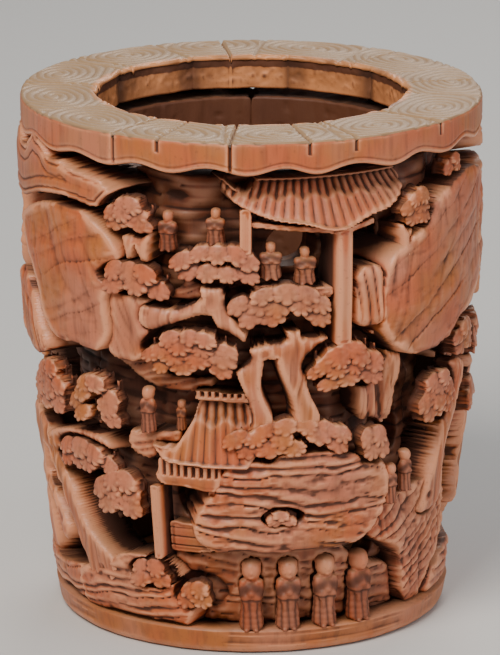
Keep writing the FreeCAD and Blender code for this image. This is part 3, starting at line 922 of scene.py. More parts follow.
@dataclass
class People:
    """Small robed figures: gown with folds, clasped sleeves, sash, round head with a low cap."""

    shop: Workshop
    node: str
    grain: float = 0.27

    def build(self) -> None:
        """Makes the piece."""
        bm = bmesh.new()
        solids = self.shop.solids(self.node)
        for solid in solids:
            self.figure(bm, solid)
        mesh = bpy.data.meshes.new("people")
        bm.to_mesh(mesh)
        bm.free()
        rough = bpy.data.objects.new("people", mesh)
        bpy.context.scene.collection.objects.link(rough)
        remesh = rough.modifiers.new("blend", "REMESH")
        remesh.mode = "VOXEL"
        remesh.voxel_size = self.grain * MM
        view = bpy.context.evaluated_depsgraph_get()
        joined = bmesh.new()
        joined.from_object(rough, view)
        bpy.data.objects.remove(rough)
        bmesh.ops.smooth_vert(joined, verts=joined.verts[:], factor=0.5, use_axis_x=True,
                              use_axis_y=True, use_axis_z=True)
        relief, tint, warmth = (joined.verts.layers.float.new(n) for n in ("relief", "tint", "warmth"))
        stands = [(self.stand(solid), solid) for solid in solids]
        for vert in joined.verts:
            point = vert.co / MM
            base, solid = min(stands, key=lambda pair: (pair[0].xy - point.xy).length)
            fold, share = self.fold(point - base, solid)
            vert.co -= vert.normal * fold * MM
            # Relief is low on the body and in the cloth folds, which the material paints dark as painted
            # shade, and high on the head, which it paints pale as wear and a painted highlight.
            vert[relief] = min(max(0.40 + 0.34 * smoothstep(0.6, 0.8, share) - fold * 0.8, 0), 1)
            vert[tint], vert[warmth] = 0.5, 0.4
        place(finish_mesh(joined, self.node + "_carving"), [self.node], self.shop.finish)

    @staticmethod
    def stand(solid: Solid) -> Vector:
        """Point between a figure's feet.

        Args:
            solid: the figure's plain solid.

        Returns:
            The point in millimetres.
        """
        radius = solid.reach - (solid.reach - solid.root) / 2
        return Vector((math.sin(solid.middle) * radius, -math.cos(solid.middle) * radius, solid.heights[0]))

    @staticmethod
    def fold(local: Vector, solid: Solid) -> tuple[float, float]:
        """Depth of the cloth folds at a point of a figure.

        Args:
            local: the point from the figure's feet, in millimetres.
            solid: the figure's plain solid.

        Returns:
            The depth in millimetres, and the point's height as a share of the figure's.
        """
        share = local.z / (solid.heights[1] - solid.heights[0])
        phi = math.atan2(local.x, -local.y) - solid.middle
        skirt = abs(math.sin(4.5 * phi + 2.0 * share)) ** 0.5
        sleeve = 0.5 + 0.5 * math.sin(21 * share + 3.0 * abs(phi))
        low = float(smoothstep(0.46, 0.40, share))
        upper = float(smoothstep(0.44, 0.50, share) * smoothstep(0.74, 0.68, share))
        sash = math.exp(-((share - 0.43) / 0.016) ** 2)
        return 0.30 * (1 - skirt) * low + 0.22 * sleeve * upper + 0.22 * sash, share

    def figure(self, bm: bmesh.types.BMesh, solid: Solid) -> None:
        """Adds one figure where its solid stands.

        Args:
            bm: the mesh that gathers the figures.
            solid: the figure's plain solid.
        """
        tall = solid.heights[1] - solid.heights[0]
        head = tall * 0.15
        girth = (solid.reach - solid.root) / 2
        outward = Vector((math.sin(solid.middle), -math.cos(solid.middle), 0))
        aside = Vector((math.cos(solid.middle), math.sin(solid.middle), 0))
        base = self.stand(solid)

        def ball(out: float, side: float, up: float, size: tuple[float, float, float]) -> None:
            """Adds one ellipsoid, its place and half sizes as outward, sideways and up."""
            made = bmesh.ops.create_uvsphere(bm, u_segments=20, v_segments=12, radius=1.0)["verts"]
            for vert in made:
                local = vert.co.copy()
                place_mm = (base + outward * (out + local.y * size[0]) + aside * (side + local.x * size[1])
                            + Vector((0, 0, up + local.z * size[2])))
                vert.co = place_mm * MM

        wide = max(girth, head)
        ball(0, 0, tall * 0.07, (wide * 0.92, wide * 0.96, tall * 0.08))
        for level in range(6):
            up = 0.13 + 0.09 * level
            waist = 0.88 + 0.06 * math.cos(level * 1.2)
            ball(0, 0, tall * up, (wide * waist * 0.94, wide * waist, tall * 0.13))
        for side in (-1, 1):
            ball(wide * 0.50, side * wide * 0.40, tall * 0.46, (wide * 0.42, wide * 0.40, tall * 0.10))
            ball(wide * 0.30, side * wide * 0.70, tall * 0.56, (wide * 0.40, wide * 0.28, tall * 0.13))
            ball(wide * 0.10, side * wide * 0.58, tall * 0.665, (wide * 0.48, wide * 0.36, tall * 0.055))
            ball(wide * 0.62, side * wide * 0.34, tall * 0.36, (wide * 0.22, wide * 0.20, tall * 0.11))
            ball(wide * 0.55, side * wide * 0.38, tall * 0.022, (wide * 0.44, wide * 0.26, tall * 0.03))
        ball(wide * 0.72, 0, tall * 0.53, (wide * 0.26, wide * 0.34, tall * 0.045))
        ball(0, 0, tall * 0.72, (head * 0.62, head * 0.60, tall * 0.05))
        ball(head * 0.10, 0, tall - head * 1.06, (head * 0.96, head * 0.88, head * 1.04))
        ball(head * 0.94, 0, tall - head * 1.18, (head * 0.20, head * 0.15, head * 0.26))
        ball(head * 0.72, 0, tall - head * 1.62, (head * 0.26, head * 0.30, head * 0.24))
        ball(-head * 0.10, 0, tall - head * 0.62, (head * 0.92, head * 0.90, head * 0.52))


@dataclass
class WallGround:
    """The inner wall: its outside is the carved ground behind the scene, its inside the brush well."""

    shop: Workshop
    node: str = "inner_wall"
    sectors: int = 6
    cell: float = 0.75
    wall: float = 3.0
    step: float = 1.5
    step_height: float = 7.5

    def build(self) -> None:
        """Makes the ground in sectors that meet edge to edge."""
        solid = self.shop.solids(self.node)[0]
        tree = solid.tree
        low, high = solid.heights
        bore = solid.root
        for sector in range(self.sectors):
            start = 2 * math.pi * sector / self.sectors
            end = start + 2 * math.pi / self.sectors
            patch = Patch.spanning((start, end), (low + 0.6, high), self.cell, 50)
            read = patch.read(tree, 10.0)
            patch.keep = ~np.isnan(read) & (np.nan_to_num(read) > bore + 1)
            turned = np.nan_to_num(read, nan=bore + 4)
            patch.front = np.maximum(turned, bore + self.wall) + self.slope(patch)
            bored = bore + self.tooling(patch)
            patch.back = np.where(patch.height < low + self.step_height, bored + self.step, bored)
            patch.warmth, patch.tint = 0.35, 0.28
            bm = bmesh.new()
            patch.add_to(bm)
            made = finish_mesh(bm, f"inner_wall_ground_{sector + 1}")
            place(made, [self.node], self.shop.finish)

    def slope(self, patch: Patch) -> Array:
        """Ground relief over the turned wall, seamless round the pot.

        Args:
            patch: the sector.

        Returns:
            Heights in millimetres.
        """
        x, y = np.sin(patch.angle) * 48, -np.cos(patch.angle) * 48
        noise = Noise(90)
        mounds = noise.fractal(x / 15, y / 15, patch.height / 12, 3)
        level = (patch.height + 3.0 * noise.fractal(x / 20, y / 20, patch.height / 16, 2)) / 3.4
        part = level - np.floor(level)
        beds = 1 - np.sqrt(np.clip(1 - (1 - np.clip(part * 2, 0, 1)) ** 2, 0, 1))
        room = 3.0 + 0.035 * patch.height
        return np.clip(0.45 * room + 5.0 * mounds - 1.0 * beds, 0, room + 2.0)

    def tooling(self, patch: Patch) -> Array:
        """Gouge marks inside the brush well.

        Args:
            patch: the sector.

        Returns:
            Small changes of radius in millimetres.
        """
        x, y = np.sin(patch.angle) * 42, -np.cos(patch.angle) * 42
        noise = Noise(91)
        gouges = noise.fractal(x / 2.2, y / 2.2, patch.height / 9, 2)
        pits = np.clip(noise.at(x / 1.7, y / 1.7, patch.height / 1.7) - 0.45, 0, 1)
        return np.clip(0.35 * gouges + 0.9 * pits, -0.1, 0.9)


@dataclass
class CloudCollar:
    """Mouth ring: engraved cloud swirls on top, a scalloped band outside, a lobed well edge."""

    shop: Workshop
    node: str = "rim_collar"
    around: int = 880
    swirls: int = 12
    waves: int = 19
    first_wave: float = -9.5
    wave_rise: float = 2.0
    cracks: tuple[tuple[float, float, float], ...] = (
        (-35.5, 1.0, 1.0), (-23, 0.8, 0.45), (-5, 1.3, 1.0), (14, 0.7, 0.6), (26, 0.6, 0.7), (53, 0.8, 0.8),
        (101, 0.9, 1.0), (139, 0.7, 0.6), (188, 1.2, 1.0), (231, 0.8, 0.7), (262, 0.9, 1.0))

    def build(self) -> None:
        """Makes the ring from a grid whose rows run once round its section."""
        low, high = (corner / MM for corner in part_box(self.node))
        radius, top, under = high.x - 0.35, high.z, low.z
        rows = {"well": 16, "top": 58, "band": 26, "under": 9}
        columns = self.around
        count = sum(rows.values())
        turn = np.linspace(0, 2 * math.pi, columns, endpoint=False)
        noise = Noise(12)
        ring_x, ring_y = np.sin(turn), -np.cos(turn)
        swing = noise.at(ring_x * 3, ring_y * 3, 0 * turn + 6)
        wave = 0.5 + 0.5 * np.cos(self.waves * (turn - math.radians(self.first_wave)) + 0.9 * swing)
        edge = under + 1.7 + self.wave_rise * (0.8 + 0.35 * swing) * wave
        lobes = np.abs(np.cos(5 * (turn - math.radians(4)))) ** 0.45
        well = 44.6 - 1.4 * lobes + 0.5 * noise.at(ring_x * 9, ring_y * 9, 0 * turn)
        outside = radius - 0.45 - 0.45 * noise.at(ring_x * 4, ring_y * 4, 0 * turn + 3) ** 2
        sections = []
        for share in np.linspace(0, 1, rows["well"], endpoint=False):
            bulge = 0.5 * noise.fractal(ring_x * 22, ring_y * 22, 0 * turn + share * 5, 2)
            height = under + 1.5 + (top - 0.9 - under - 1.5) * share
            sections.append((well + 0.4 + bulge * np.sin(np.pi * share), height))
        for share in np.linspace(0, 1, rows["top"], endpoint=False):
            radial = well + (outside - well) * share
            fall = rounded(np.minimum(share, 1 - share) * 22 + 0 * turn, 1.1)
            sections.append((radial, top - 0.05 - fall - self.engraving(turn, radial)))
        for share in np.linspace(0, 1, rows["band"], endpoint=False):
            height = (top - 1.1) + (edge - top + 1.1) * share
            above = height - edge
            line = 0.28 * np.exp(-((above - 1.7) / 0.30) ** 2)
            lip = rounded(above, 0.9)
            grain = 0.10 * noise.fractal(ring_x * 60, ring_y * 60, height / 14, 2)
            sections.append((outside - line - lip + grain - 0.05, height))
        for share in np.linspace(0, 1, rows["under"], endpoint=False):
            inward = outside - 1.1 + (well + 1.0 - outside + 1.1) * share
            sections.append((inward, edge + (under + 1.5 - edge) * share + 0.9 * np.sin(np.pi * share)))
        radii = np.array([s[0] + 0 * turn for s in sections])
        heights = np.array([s[1] + 0 * turn for s in sections])
        split = self.splits(turn)
        flat = np.arange(count)[:, None]
        on_top = (flat >= rows["well"]) & (flat < rows["well"] + rows["top"])
        on_band = (flat >= rows["well"] + rows["top"]) & (flat < count - rows["under"])
        reach = np.where(heights > top - 4, 1.0, split[1][None, :] > 0.9)
        heights = heights - np.where(on_top, split[0][None, :], 0)
        radii = radii - np.where(on_band, split[0][None, :] * reach, 0)
        self.assemble(turn, radii, heights, on_top)

    def splits(self, turn: Array) -> tuple[Array, Array]:
        """Drying cracks: how deep each angle is cut, and how far down the band it runs.

        Args:
            turn: angles round the ring.

        Returns:
            Depths in millimetres, and the reach down the band as a share.
        """
        depth, reach = np.zeros(turn.shape), np.zeros(turn.shape)
        for angle, size, down in self.cracks:
            away = np.angle(np.exp(1j * (turn - math.radians(angle))))
            near = np.abs(away) * 66 < 0.42
            depth = np.where(near, size, depth)
            reach = np.where(near, down, reach)
        return depth, reach

    def engraving(self, turn: Array, radial: Array) -> Array:
        """Depth of the cloud swirls cut in the top.

        Args:
            turn: angles round the ring.
            radial: radius of each point.

        Returns:
            Depths in millimetres.
        """
        x, y = np.sin(turn) * radial, -np.cos(turn) * radial
        draw = np.random.default_rng(8)
        nearest = np.full(turn.shape, np.inf)
        depth = np.zeros(turn.shape)
        sway = 0.35 * Noise(14).fractal(x / 7, y / 7, 0 * x, 2)
        for index in range(self.swirls):
            angle = 2 * math.pi * (index + 0.35) / self.swirls + draw.normal() * 0.03
            middle = 56.5 + draw.normal() * 1.2
            sine, cosine = math.sin(angle), math.cos(angle)
            east, north = x - sine * middle, y + cosine * middle
            side, out = east * cosine + north * sine, east * sine - north * cosine
            away = np.hypot(side * 0.72, out)
            spin = np.arctan2(out, side * 0.72) * (1 if index % 2 else -1)
            phase = away / 2.3 - spin / (2 * math.pi) + sway
            groove = np.abs(phase - np.floor(phase) - 0.5) * 2
            cut = 0.42 * smoothstep(0.50, 0.98, groove) * smoothstep(0.3, 1.2, away)
            mine = away < nearest
            border = smoothstep(1.1, 0.0, np.abs(away - nearest))
            depth = np.where(mine, cut, depth)
            depth = np.maximum(depth, np.where(np.isfinite(nearest), 0.5 * border, 0))
            nearest = np.minimum(nearest, away)
        return depth

    def assemble(self, turn: Array, radii: Array, heights: Array, on_top: Array) -> None:
        """Closes the grid round the ring and round its section.

        Args:
            turn: angle of each column.
            radii: radius of each grid point.
            heights: height of each grid point.
            on_top: which rows are the top face.
        """
        count, columns = radii.shape
        bm = bmesh.new()
        bmesh.ops.create_grid(bm, x_segments=columns, y_segments=count, size=0.5)
        x, y = np.sin(turn)[None, :] * radii, -np.cos(turn)[None, :] * radii
        points = (np.stack([x, y, heights], -1) * MM).reshape(-1, 3).tolist()
        top = np.broadcast_to(on_top, radii.shape)
        cut = np.where(top, heights - heights.max(), radii - radii.max(axis=0))
        lap = 9
        around = np.concatenate([cut[:, -lap:], cut, cut[:, :lap]], axis=1)
        fine = cut - blurred(around, 6)[:, lap:-lap]
        # Relief falls in the engraved swirls, cracks and lip, which the material paints dark as painted
        # shade, and rises on the raised parts, which it paints pale as wear and a painted highlight.
        relief = np.clip(0.54 + fine * np.where(top, 0.8, 1.2), 0, 1)
        values = {"relief": relief, "tint": np.where(top, 1.0, 0.5), "warmth": np.where(top, 0.1, 0.62)}
        layers = {name: bm.verts.layers.float.new(name) for name in values}
        flat = {name: grid.ravel().tolist() for name, grid in values.items()}
        for vert in bm.verts:
            column = round((vert.co.x + 0.5) * columns) % columns
            row = round((vert.co.y + 0.5) * count) % count
            index = row * columns + column
            vert.co = points[index]
            for name, layer in layers.items():
                vert[layer] = flat[name][index]
        bmesh.ops.remove_doubles(bm, verts=bm.verts[:], dist=1e-7)
        bmesh.ops.recalc_face_normals(bm, faces=bm.faces[:])
        place(finish_mesh(bm, "cloud_collar"), [self.node], self.shop.finish)


@dataclass
class Foot:
    """Uncarved ring round the foot and the disc let into it."""

    shop: Workshop
    around: int = 256
    flare: float = 1.3
    rounding: float = 2.4

    def build(self) -> None:
        """Makes the ring and the disc."""
        self.ring()
        self.disc()

    def turned(self, name: str, section: list[tuple[float, float]]) -> bpy.types.Object:
        """Spins a section, which starts on the axis, once round it.

        Args:
            name: the piece's name.
            section: radius and height of its corners, in millimetres.

        Returns:
            The piece.
        """
        bm = bmesh.new()
        corners = [bm.verts.new(Vector((r, 0, z)) * MM) for r, z in section]
        edges = [bm.edges.new(pair) for pair in zip(corners, corners[1:])]
        bmesh.ops.spin(bm, geom=corners + edges, cent=(0, 0, 0), axis=(0, 0, 1), angle=2 * math.pi,
                       steps=self.around, use_merge=True)
        bmesh.ops.remove_doubles(bm, verts=bm.verts[:], dist=1e-7)
        bmesh.ops.recalc_face_normals(bm, faces=bm.faces[:])
        for attribute, value in (("relief", 0.55), ("tint", 0.5), ("warmth", 0.75)):
            layer = bm.verts.layers.float.new(attribute)
            for vert in bm.verts:
                vert[layer] = value
        return finish_mesh(bm, name)

    def ring(self) -> None:
        """Makes the foot ring: shallow ledges run down into it, and its lower edge is rubbed round."""
        low, high = (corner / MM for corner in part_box("foot_ring"))
        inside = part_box("base_disc")[1].x / MM + 0.05
        patch = Patch.spanning((-math.pi, math.pi), (low.z, high.z), 0.45, high.x)
        x, y = np.sin(patch.angle), -np.cos(patch.angle)
        noise = Noise(33)
        flare = high.x - self.flare * (1 - patch.height / high.z)
        sway = 1.5 * noise.fractal(x * 2.2, y * 2.2, patch.height / 9, 3)
        bed = (patch.height + sway) / 2.6
        part = bed - np.floor(bed)
        ledge = smoothstep(0.0, 0.25, part) * (1 - 0.6 * part)
        shown = smoothstep(0.1, 0.6, noise.at(x * 4, y * 4, patch.height / 5 + 9) + 0.25)
        worn = 0.35 + 0.3 * noise.fractal(x * 9, y * 9, patch.height / 6, 2)
        cut = 0.55 * ledge * shown * smoothstep(1.8, 3.6, patch.height) + np.clip(worn, 0, 0.8)
        patch.front = flare - cut - rounded(patch.height - low.z, self.rounding)
        patch.back = np.full(patch.front.shape, inside)
        patch.warmth, patch.even = 0.85, False
        self.shop.make("foot_ring_carving", [patch], ["foot_ring"])

    def disc(self) -> None:
        """Makes the base disc with a shallow turned ring on its upper face."""
        low, high = (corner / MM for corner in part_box("base_disc"))
        radius = high.x
        section = [(0, low.z), (radius * 0.4, low.z + 0.1), (radius * 0.8, low.z), (radius - 0.4, low.z),
                   (radius, low.z + 0.4), (radius, high.z - 0.5), (radius - 0.5, high.z),
                   (radius * 0.82, high.z), (radius * 0.8, high.z - 0.5), (radius * 0.78, high.z),
                   (radius * 0.3, high.z - 0.2), (0, high.z - 0.2)]
        made = self.turned("base_disc_turned", section)
        place(made, ["base_disc"], self.shop.finish)


# ------------------------------------------------------------------ finishes

class Value:
    """A shader socket that takes part in expressions."""

    def __init__(self, graph: "Graph", socket: bpy.types.NodeSocket) -> None:
        """Wraps a socket of a graph."""
        self.graph = graph
        self.socket = socket

    def _math(self, operation: str, first: object, second: object) -> "Value":
        """Math node of two inputs."""
        return self.graph.node("ShaderNodeMath", {"operation": operation}, {0: first, 1: second})

    def __add__(self, other: object) -> "Value":
        """Sum."""
        return self._math("ADD", self, other)

    def __radd__(self, other: object) -> "Value":
        """Sum with the number first."""
        return self._math("ADD", other, self)

    def __sub__(self, other: object) -> "Value":
        """Difference."""
        return self._math("SUBTRACT", self, other)

    def __rsub__(self, other: object) -> "Value":
        """Difference with the number first."""
        return self._math("SUBTRACT", other, self)

    def __mul__(self, other: object) -> "Value":
        """Product."""
        return self._math("MULTIPLY", self, other)

    def __rmul__(self, other: object) -> "Value":
        """Product with the number first."""
        return self._math("MULTIPLY", other, self)

    def clamped(self) -> "Value":
        """Held between 0 and 1."""
        return self.graph.node("ShaderNodeClamp", {}, {"Value": self})

    def step(self, low: float, high: float) -> "Value":
        """Smooth rise from 0 at low to 1 at high."""
        span = {"Value": self, "From Min": low, "From Max": high}
        return self.graph.node("ShaderNodeMapRange", {"interpolation_type": "SMOOTHSTEP"}, span)


class Graph:
    """Node tree of one material."""

    def __init__(self, name: str) -> None:
        """Starts a material with a Principled shader."""
        self.material = bpy.data.materials.new(name)
        self.material.use_nodes = True
        self.tree = self.material.node_tree
        self.shader = self.tree.nodes["Principled BSDF"]

    def node(self, kind: str, settings: dict, inputs: dict, output: int | str = 0) -> Value:
        """Adds one node.

        Args:
            kind: the node's type.
            settings: properties set before the inputs.
            inputs: numbers, colours or Values by socket.
            output: which output to return.

        Returns:
            The output as a Value.
        """
        made = self.tree.nodes.new(kind)
        for key, value in settings.items():
            setattr(made, key, value)
        for key, value in inputs.items():
            if isinstance(value, Value):
                self.tree.links.new(value.socket, made.inputs[key])
            else:
                made.inputs[key].default_value = value
        return Value(self, made.outputs[output])

    def mix(self, share: Value | float, first: object, second: object) -> Value:
        """Colour between two colours.

        Args:
            share: 0 for the first, 1 for the second.
            first: a colour or a Value.
            second: a colour or a Value.

        Returns:
            The mixed colour.
        """
        return self.node("ShaderNodeMix", {"data_type": "RGBA"}, {0: share, 6: first, 7: second}, 2)

    def axes(self, vector: Value) -> list[Value]:
        """X, Y and Z of a vector."""
        parts = self.node("ShaderNodeSeparateXYZ", {}, {"Vector": vector}).socket.node
        return [Value(self, parts.outputs[axis]) for axis in "XYZ"]

    def attribute(self, name: str) -> Value:
        """Value of a named mesh attribute."""
        return self.node("ShaderNodeAttribute", {"attribute_name": name}, {}, "Fac")

    def noise(self, stretch: tuple[float, float, float], scale: float, detail: float = 2.0) -> Value:
        """Noise over Object coordinates.

        Args:
            stretch: how much each axis is scaled.
            scale: cells per metre.
            detail: octaves.

        Returns:
            The noise, about 0 to 1.
        """
        coordinates = self.node("ShaderNodeTexCoord", {}, {}, "Object")
        mapped = self.node("ShaderNodeMapping", {}, {"Vector": coordinates, "Scale": stretch})
        return self.node("ShaderNodeTexNoise", {}, {"Vector": mapped, "Scale": scale, "Detail": detail})

    def output(self, colour: Value, roughness: Value, normal: Value) -> bpy.types.Material:
        """Feeds the shader and returns the material."""
        for key, value in (("Base Color", colour), ("Roughness", roughness), ("Normal", normal)):
            self.tree.links.new(value.socket, self.shader.inputs[key])
        return self.material


def rgb(red: int, green: int, blue: int) -> tuple[float, float, float, float]:
    """Linear colour of a display colour from 0 to 255."""
    def linear(channel: int) -> float:
        """One channel."""
        share = channel / 255
        return share / 12.92 if share <= 0.04045 else ((share + 0.055) / 1.055) ** 2.4
    return linear(red), linear(green), linear(blue), 1.0


@dataclass(frozen=True)
class AgedBamboo:
    """Old waxed bamboo: painted shade darkens the cuts and hollows, the faces are red-brown, and the ridges
    are rubbed pale and carry a painted highlight.
    """

    name: str = "aged_bamboo"
    # Colour of the painted shade deep in the hollows.
    hollow: tuple = rgb(46, 23, 13)
    # Colour of the painted shade in the cuts, also used for grain streaks, specks and blotches in the well.
    cut: tuple = rgb(76, 38, 22)
    face: tuple = rgb(188, 92, 50)
    patina: tuple = rgb(188, 118, 90)
    ochre: tuple = rgb(172, 98, 42)
    # Pale colour of the raised parts: partly rubbed wear, partly a painted highlight.
    ridge: tuple = rgb(232, 156, 114)
    # Colour of upward faces: partly settled grime, partly painted top light.
    dust_and_top_light: tuple = rgb(152, 114, 82)
    rim: tuple = rgb(164, 132, 96)
    bore: tuple = rgb(222, 146, 92)
    height: float = 0.150
    foot_radius: float = 0.0555
    spread: float = 0.0105
    belly: float = 0.019
    bore_radius: float = 0.0442
    painted_shade_depth: float = 0.0135

    def make(self) -> bpy.types.Material:
        """Builds the material.

        Returns:
            The finished material.
        """
        graph = Graph(self.name)
        relief, tint, warmth = (graph.attribute(n) for n in ("relief", "tint", "warmth"))
        fibre = graph.noise((1, 1, 0.07), 2400.0, 3.0)
        streak = graph.noise((1, 1, 0.10), 520.0, 2.0)
        blotch = graph.noise((1, 1, 0.7), 75.0, 3.0)
        speck = graph.noise((1, 1, 1), 900.0, 2.0)
        x, y, z = graph.axes(graph.node("ShaderNodeTexCoord", {}, {}, "Object"))
        radius = graph.node("ShaderNodeMath", {"operation": "SQRT"}, {0: x * x + y * y})
        share = z * (1 / self.height)
        outside = self.foot_radius + self.spread * share + self.belly * share * (1.0 - share)
        rim_top = tint.step(0.7, 0.9)
        carved = radius.step(self.bore_radius - 0.001, self.bore_radius + 0.0008) * (1.0 - rim_top)
        # Depth below the outer surface, which sets the painted shade in the hollows.
        depth = ((outside - radius) * (1 / self.painted_shade_depth)).clamped() * carved
        well = 1.0 - radius.step(self.bore_radius - 0.0002, self.bore_radius + 0.002)
        # Raised parts turn to the pale colour: partly rubbed wear, partly a painted highlight.
        worn = (relief + (streak - 0.5) * 0.25 + (blotch - 0.5) * 0.3).step(0.50, 0.92)
        # Low relief turns to the dark cut colour: painted shade.
        sunk = 1.0 - (relief + (blotch - 0.5) * 0.2).step(0.20, 0.54)
        body = graph.mix((blotch + (warmth - 0.5) * 0.5).step(0.35, 0.72), self.face, self.ochre)
        cloudy = graph.noise((1, 1, 1), 38.0, 2.0)
        body = graph.mix(cloudy.step(0.42, 0.62) * 0.65, body, self.patina)
        body = graph.mix(streak.step(0.42, 0.70) * 0.35, body, self.cut)
        body = graph.mix(worn * 0.75, body, self.ridge)
        # Upward faces turn grey-tan: partly settled grime, partly painted top light.
        up = graph.axes(graph.node("ShaderNodeNewGeometry", {}, {}, "Normal"))[2]
        dust_and_top_light_share = up.step(0.35, 0.95) * (0.85 - warmth * 0.5)
        body = graph.mix(dust_and_top_light_share, body, self.dust_and_top_light)
        body = graph.mix(rim_top * 0.9, body, self.rim)
        body = graph.mix(well * 0.88, body, graph.mix(blotch.step(0.42, 0.75) * 0.7, self.bore, self.cut))
        body = graph.mix(sunk * (0.92 - rim_top * 0.5), body, self.cut)
        # Painted shade: the deeper a point lies below the outer surface, the darker it is.
        body = graph.mix(depth.step(0.16, 0.95) * 0.74, body, self.hollow)
        body = graph.mix(speck.step(0.60, 0.76) * 0.25, body, self.cut)
        roughness = 0.48 + sunk * 0.22 + (fibre - 0.5) * 0.20 - worn * 0.08 + depth * 0.25
        bump = graph.node("ShaderNodeBump", {}, {"Strength": 0.35, "Distance": 0.00025,
                                                 "Height": fibre * 0.6 + speck * 0.5 + streak * 0.5})
        graph.shader.inputs["Specular IOR Level"].default_value = 0.42
        graph.shader.inputs["Coat Roughness"].default_value = 0.35
        graph.shader.inputs["Coat Weight"].default_value = 0.10
        return graph.output(body, roughness, bump)


# ------------------------------------------------------------------ the studio

@dataclass
class Studio:
    """Plain pale floor, soft lights and the camera."""

    distance: float = 1.4095
    elevation: float = 15.86
    aim: float = 0.075
    lens: float = 269.9
    shift: tuple[float, float] = (-0.0019, 0.0241)

    def build(self) -> None:
        """Makes the floor, the lights and the camera."""
        self.floor()
        self.light("key", (-0.35, -0.75, 0.95), 0.55, 15.0, (1.0, 0.95, 0.88))
        self.light("fill", (0.9, -0.55, 0.45), 0.8, 4.0, (0.94, 0.96, 1.0))
        self.light("back", (0.25, 0.9, 0.9), 0.6, 6.0, (1.0, 0.97, 0.94))
        world = bpy.data.worlds.new("studio")
        world.use_nodes = True
        world.node_tree.nodes["Background"].inputs["Color"].default_value = (0.80, 0.82, 0.85, 1)
        world.node_tree.nodes["Background"].inputs["Strength"].default_value = 0.30
        bpy.context.scene.world = world
        turn = math.radians(self.elevation)
        camera = bpy.data.objects.new("camera", bpy.data.cameras.new("camera"))
        camera.location = (0, -self.distance * math.cos(turn), self.aim + self.distance * math.sin(turn))
        camera.rotation_euler = (math.pi / 2 - turn, 0, 0)
        camera.data.lens = self.lens
        camera.data.shift_x, camera.data.shift_y = self.shift
        bpy.context.scene.collection.objects.link(camera)
        bpy.context.scene.camera = camera

    def floor(self) -> None:
        """Makes the floor."""
        bm = bmesh.new()
        bmesh.ops.create_grid(bm, x_segments=2, y_segments=2, size=3.0)
        made = finish_mesh(bm, "floor")
        graph = Graph("floor_paper")
        tooth = graph.noise((1, 1, 1), 600.0, 2.0)
        colour = graph.mix(tooth * 0.3, (0.62, 0.61, 0.59, 1), (0.70, 0.69, 0.67, 1))
        bump = graph.node("ShaderNodeBump", {}, {"Strength": 0.1, "Distance": 0.0002, "Height": tooth})
        made.data.materials.append(graph.output(colour, 0.8 + tooth * 0.1, bump))

    def light(self, name: str, at: tuple[float, float, float], size: float, power: float,
              colour: tuple[float, float, float]) -> None:
        """Adds a soft square light that faces the pot.

        Args:
            name: the light's name.
            at: its place in metres.
            size: its side.
            power: its power in watts.
            colour: its colour.
        """
        lamp = bpy.data.lights.new(name, "AREA")
        lamp.size, lamp.energy, lamp.color = size, power, colour
        made = bpy.data.objects.new(name, lamp)
        made.location = at
        made.rotation_euler = (Vector((0, 0, 0.07)) - Vector(at)).to_track_quat("-Z", "Y").to_euler()
        bpy.context.scene.collection.objects.link(made)


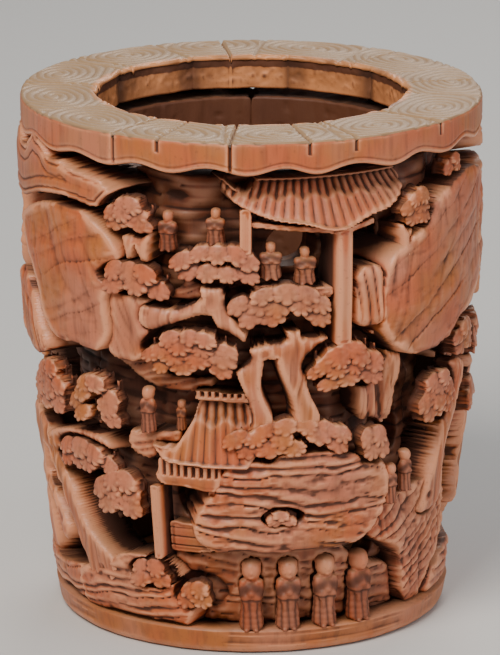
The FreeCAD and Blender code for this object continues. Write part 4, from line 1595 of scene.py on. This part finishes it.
def pieces(shop: Workshop) -> list:
    """Every carved piece, front to back and top to bottom.

    Args:
        shop: the shared workshop.

    Returns:
        Builders, one for each piece.
    """
    broad, thin = Strata(), Strata(dip=-0.25, bed=2.4, depth=1.2, seed=6)
    steep = Strata(dip=0.45, bed=2.8, seed=8)
    folds, drapes = Flutes(pitch=10.5, depth=1.4), Flutes(pitch=2.6, depth=0.9, seed=15)
    made = [Foot(shop), CloudCollar(shop), WallGround(shop)]
    made += [CloudBand(shop, n) for n in ("cloud_hook", "east_cloud_hook", "west_cloud_hook")]
    rocks = {
        "left_cliff": [Strata(dip=-0.5, bed=7.5, depth=0.6, seed=4),
                       Crags(seed=42, depth=0.9, wide=17, tall=46)],
        "left_rock_column": [Crags(seed=43, wide=6, depth=0.9)],
        "left_edge_boulders": [Crags(seed=44, wide=6, depth=1.6)],
        "right_boulder": [drapes],
        "right_cliff": [Crags(seed=45, depth=0.9, lean=-0.3, wide=15, tall=40),
                        Strata(dip=-0.6, bed=7.5, depth=0.7, seed=8)],
        "strata_rock": [Strata(dip=0.06, bed=3.4, depth=2.6, seed=3, waviness=2.6)],
        "right_crag": [Strata(dip=-0.8, bed=4.2, depth=1.8, seed=8, waviness=2.4),
                       Crags(seed=46, depth=1.2)],
        "left_ledges": [Strata(dip=-0.12, bed=3.0, depth=1.8, seed=11)],
        "ochre_crag": [Crags(seed=47, wide=3.2, depth=1.8, lean=0.0)],
        "hillside_slopes": [thin],
        "grotto_back": [broad],
        "east_cliff": [Crags(seed=48, depth=1.3, wide=9, tall=30),
                       Strata(dip=-0.4, bed=5.0, depth=0.9, seed=31)],
        "north_crag": [thin, Crags(seed=49, depth=1.4)],
        "west_cliff": [Crags(seed=50, depth=1.3, wide=9, tall=30),
                       Strata(dip=0.3, bed=5.2, depth=0.9, seed=32)],
        "south_crag": [steep, folds],
        "back_strata_rock": [Strata(bed=3.4, depth=2.4, seed=21, waviness=2.4)],
        "west_crag": [broad, Crags(seed=51, depth=1.2)],
        "back_ledges": [Strata(dip=0.1, bed=3.0, depth=1.8, seed=12)],
        "far_slopes": [Strata(dip=0.35, bed=3.8, depth=1.6, seed=14, waviness=2.6),
                       Crags(seed=52, depth=0.8)]}
    made += [Rockwork(shop, node, textures) for node, textures in rocks.items()]
    leaves = ("central_pine_canopies", "hillside_pine_canopies", "strata_rock_shrubs", "left_pine_canopies",
              "left_ground_bushes", "right_crag_pine", "right_pine_canopies", "back_pine_canopies",
              "east_pine_canopies", "back_shrubs")
    made += [Canopies(shop, node, seed=index) for index, node in enumerate(leaves)]
    made += [Limbs(shop, node) for node in ("central_pine_trunk", "hillside_pine_trunk", "left_pine_trunks",
                                            "right_pine_trunk", "back_pine_trunk", "east_pine_trunk")]
    made += [TiledRoof(shop, "hill_pavilion_roof", rolls=26), TiledRoof(shop, "garden_hall_roof", rolls=13),
             TiledRoof(shop, "water_hall_roof", rolls=24)]
    made += [Joinery(shop, node)
             for node in ("hill_pavilion_frame", "garden_hall_posts", "water_hall_posts")]
    made += [Joinery(shop, "hill_pavilion_balcony", courses=1.7),
             Joinery(shop, "garden_hall_ridge_and_eave", panel=0.15, slots=2.1, thickness=7.0)]
    made += [Joinery(shop, node, courses=2.6, thickness=20.0)
             for node in ("garden_hall_plinth", "water_hall_terrace", "stone_bridge")]
    made += [People(shop, node) for node in ("standing_scholars", "seated_scholars", "hill_travellers",
                                             "garden_servant", "bridge_travellers", "back_figures")]
    return made


def main() -> None:
    """Builds the studio and every piece of the pot."""
    logging.basicConfig(level=logging.INFO, format="%(message)s")
    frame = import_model()
    Studio().build()
    shop = Workshop(frame, AgedBamboo().make())
    for piece in pieces(shop):
        piece.build()


if __name__ == "__main__":
    main()
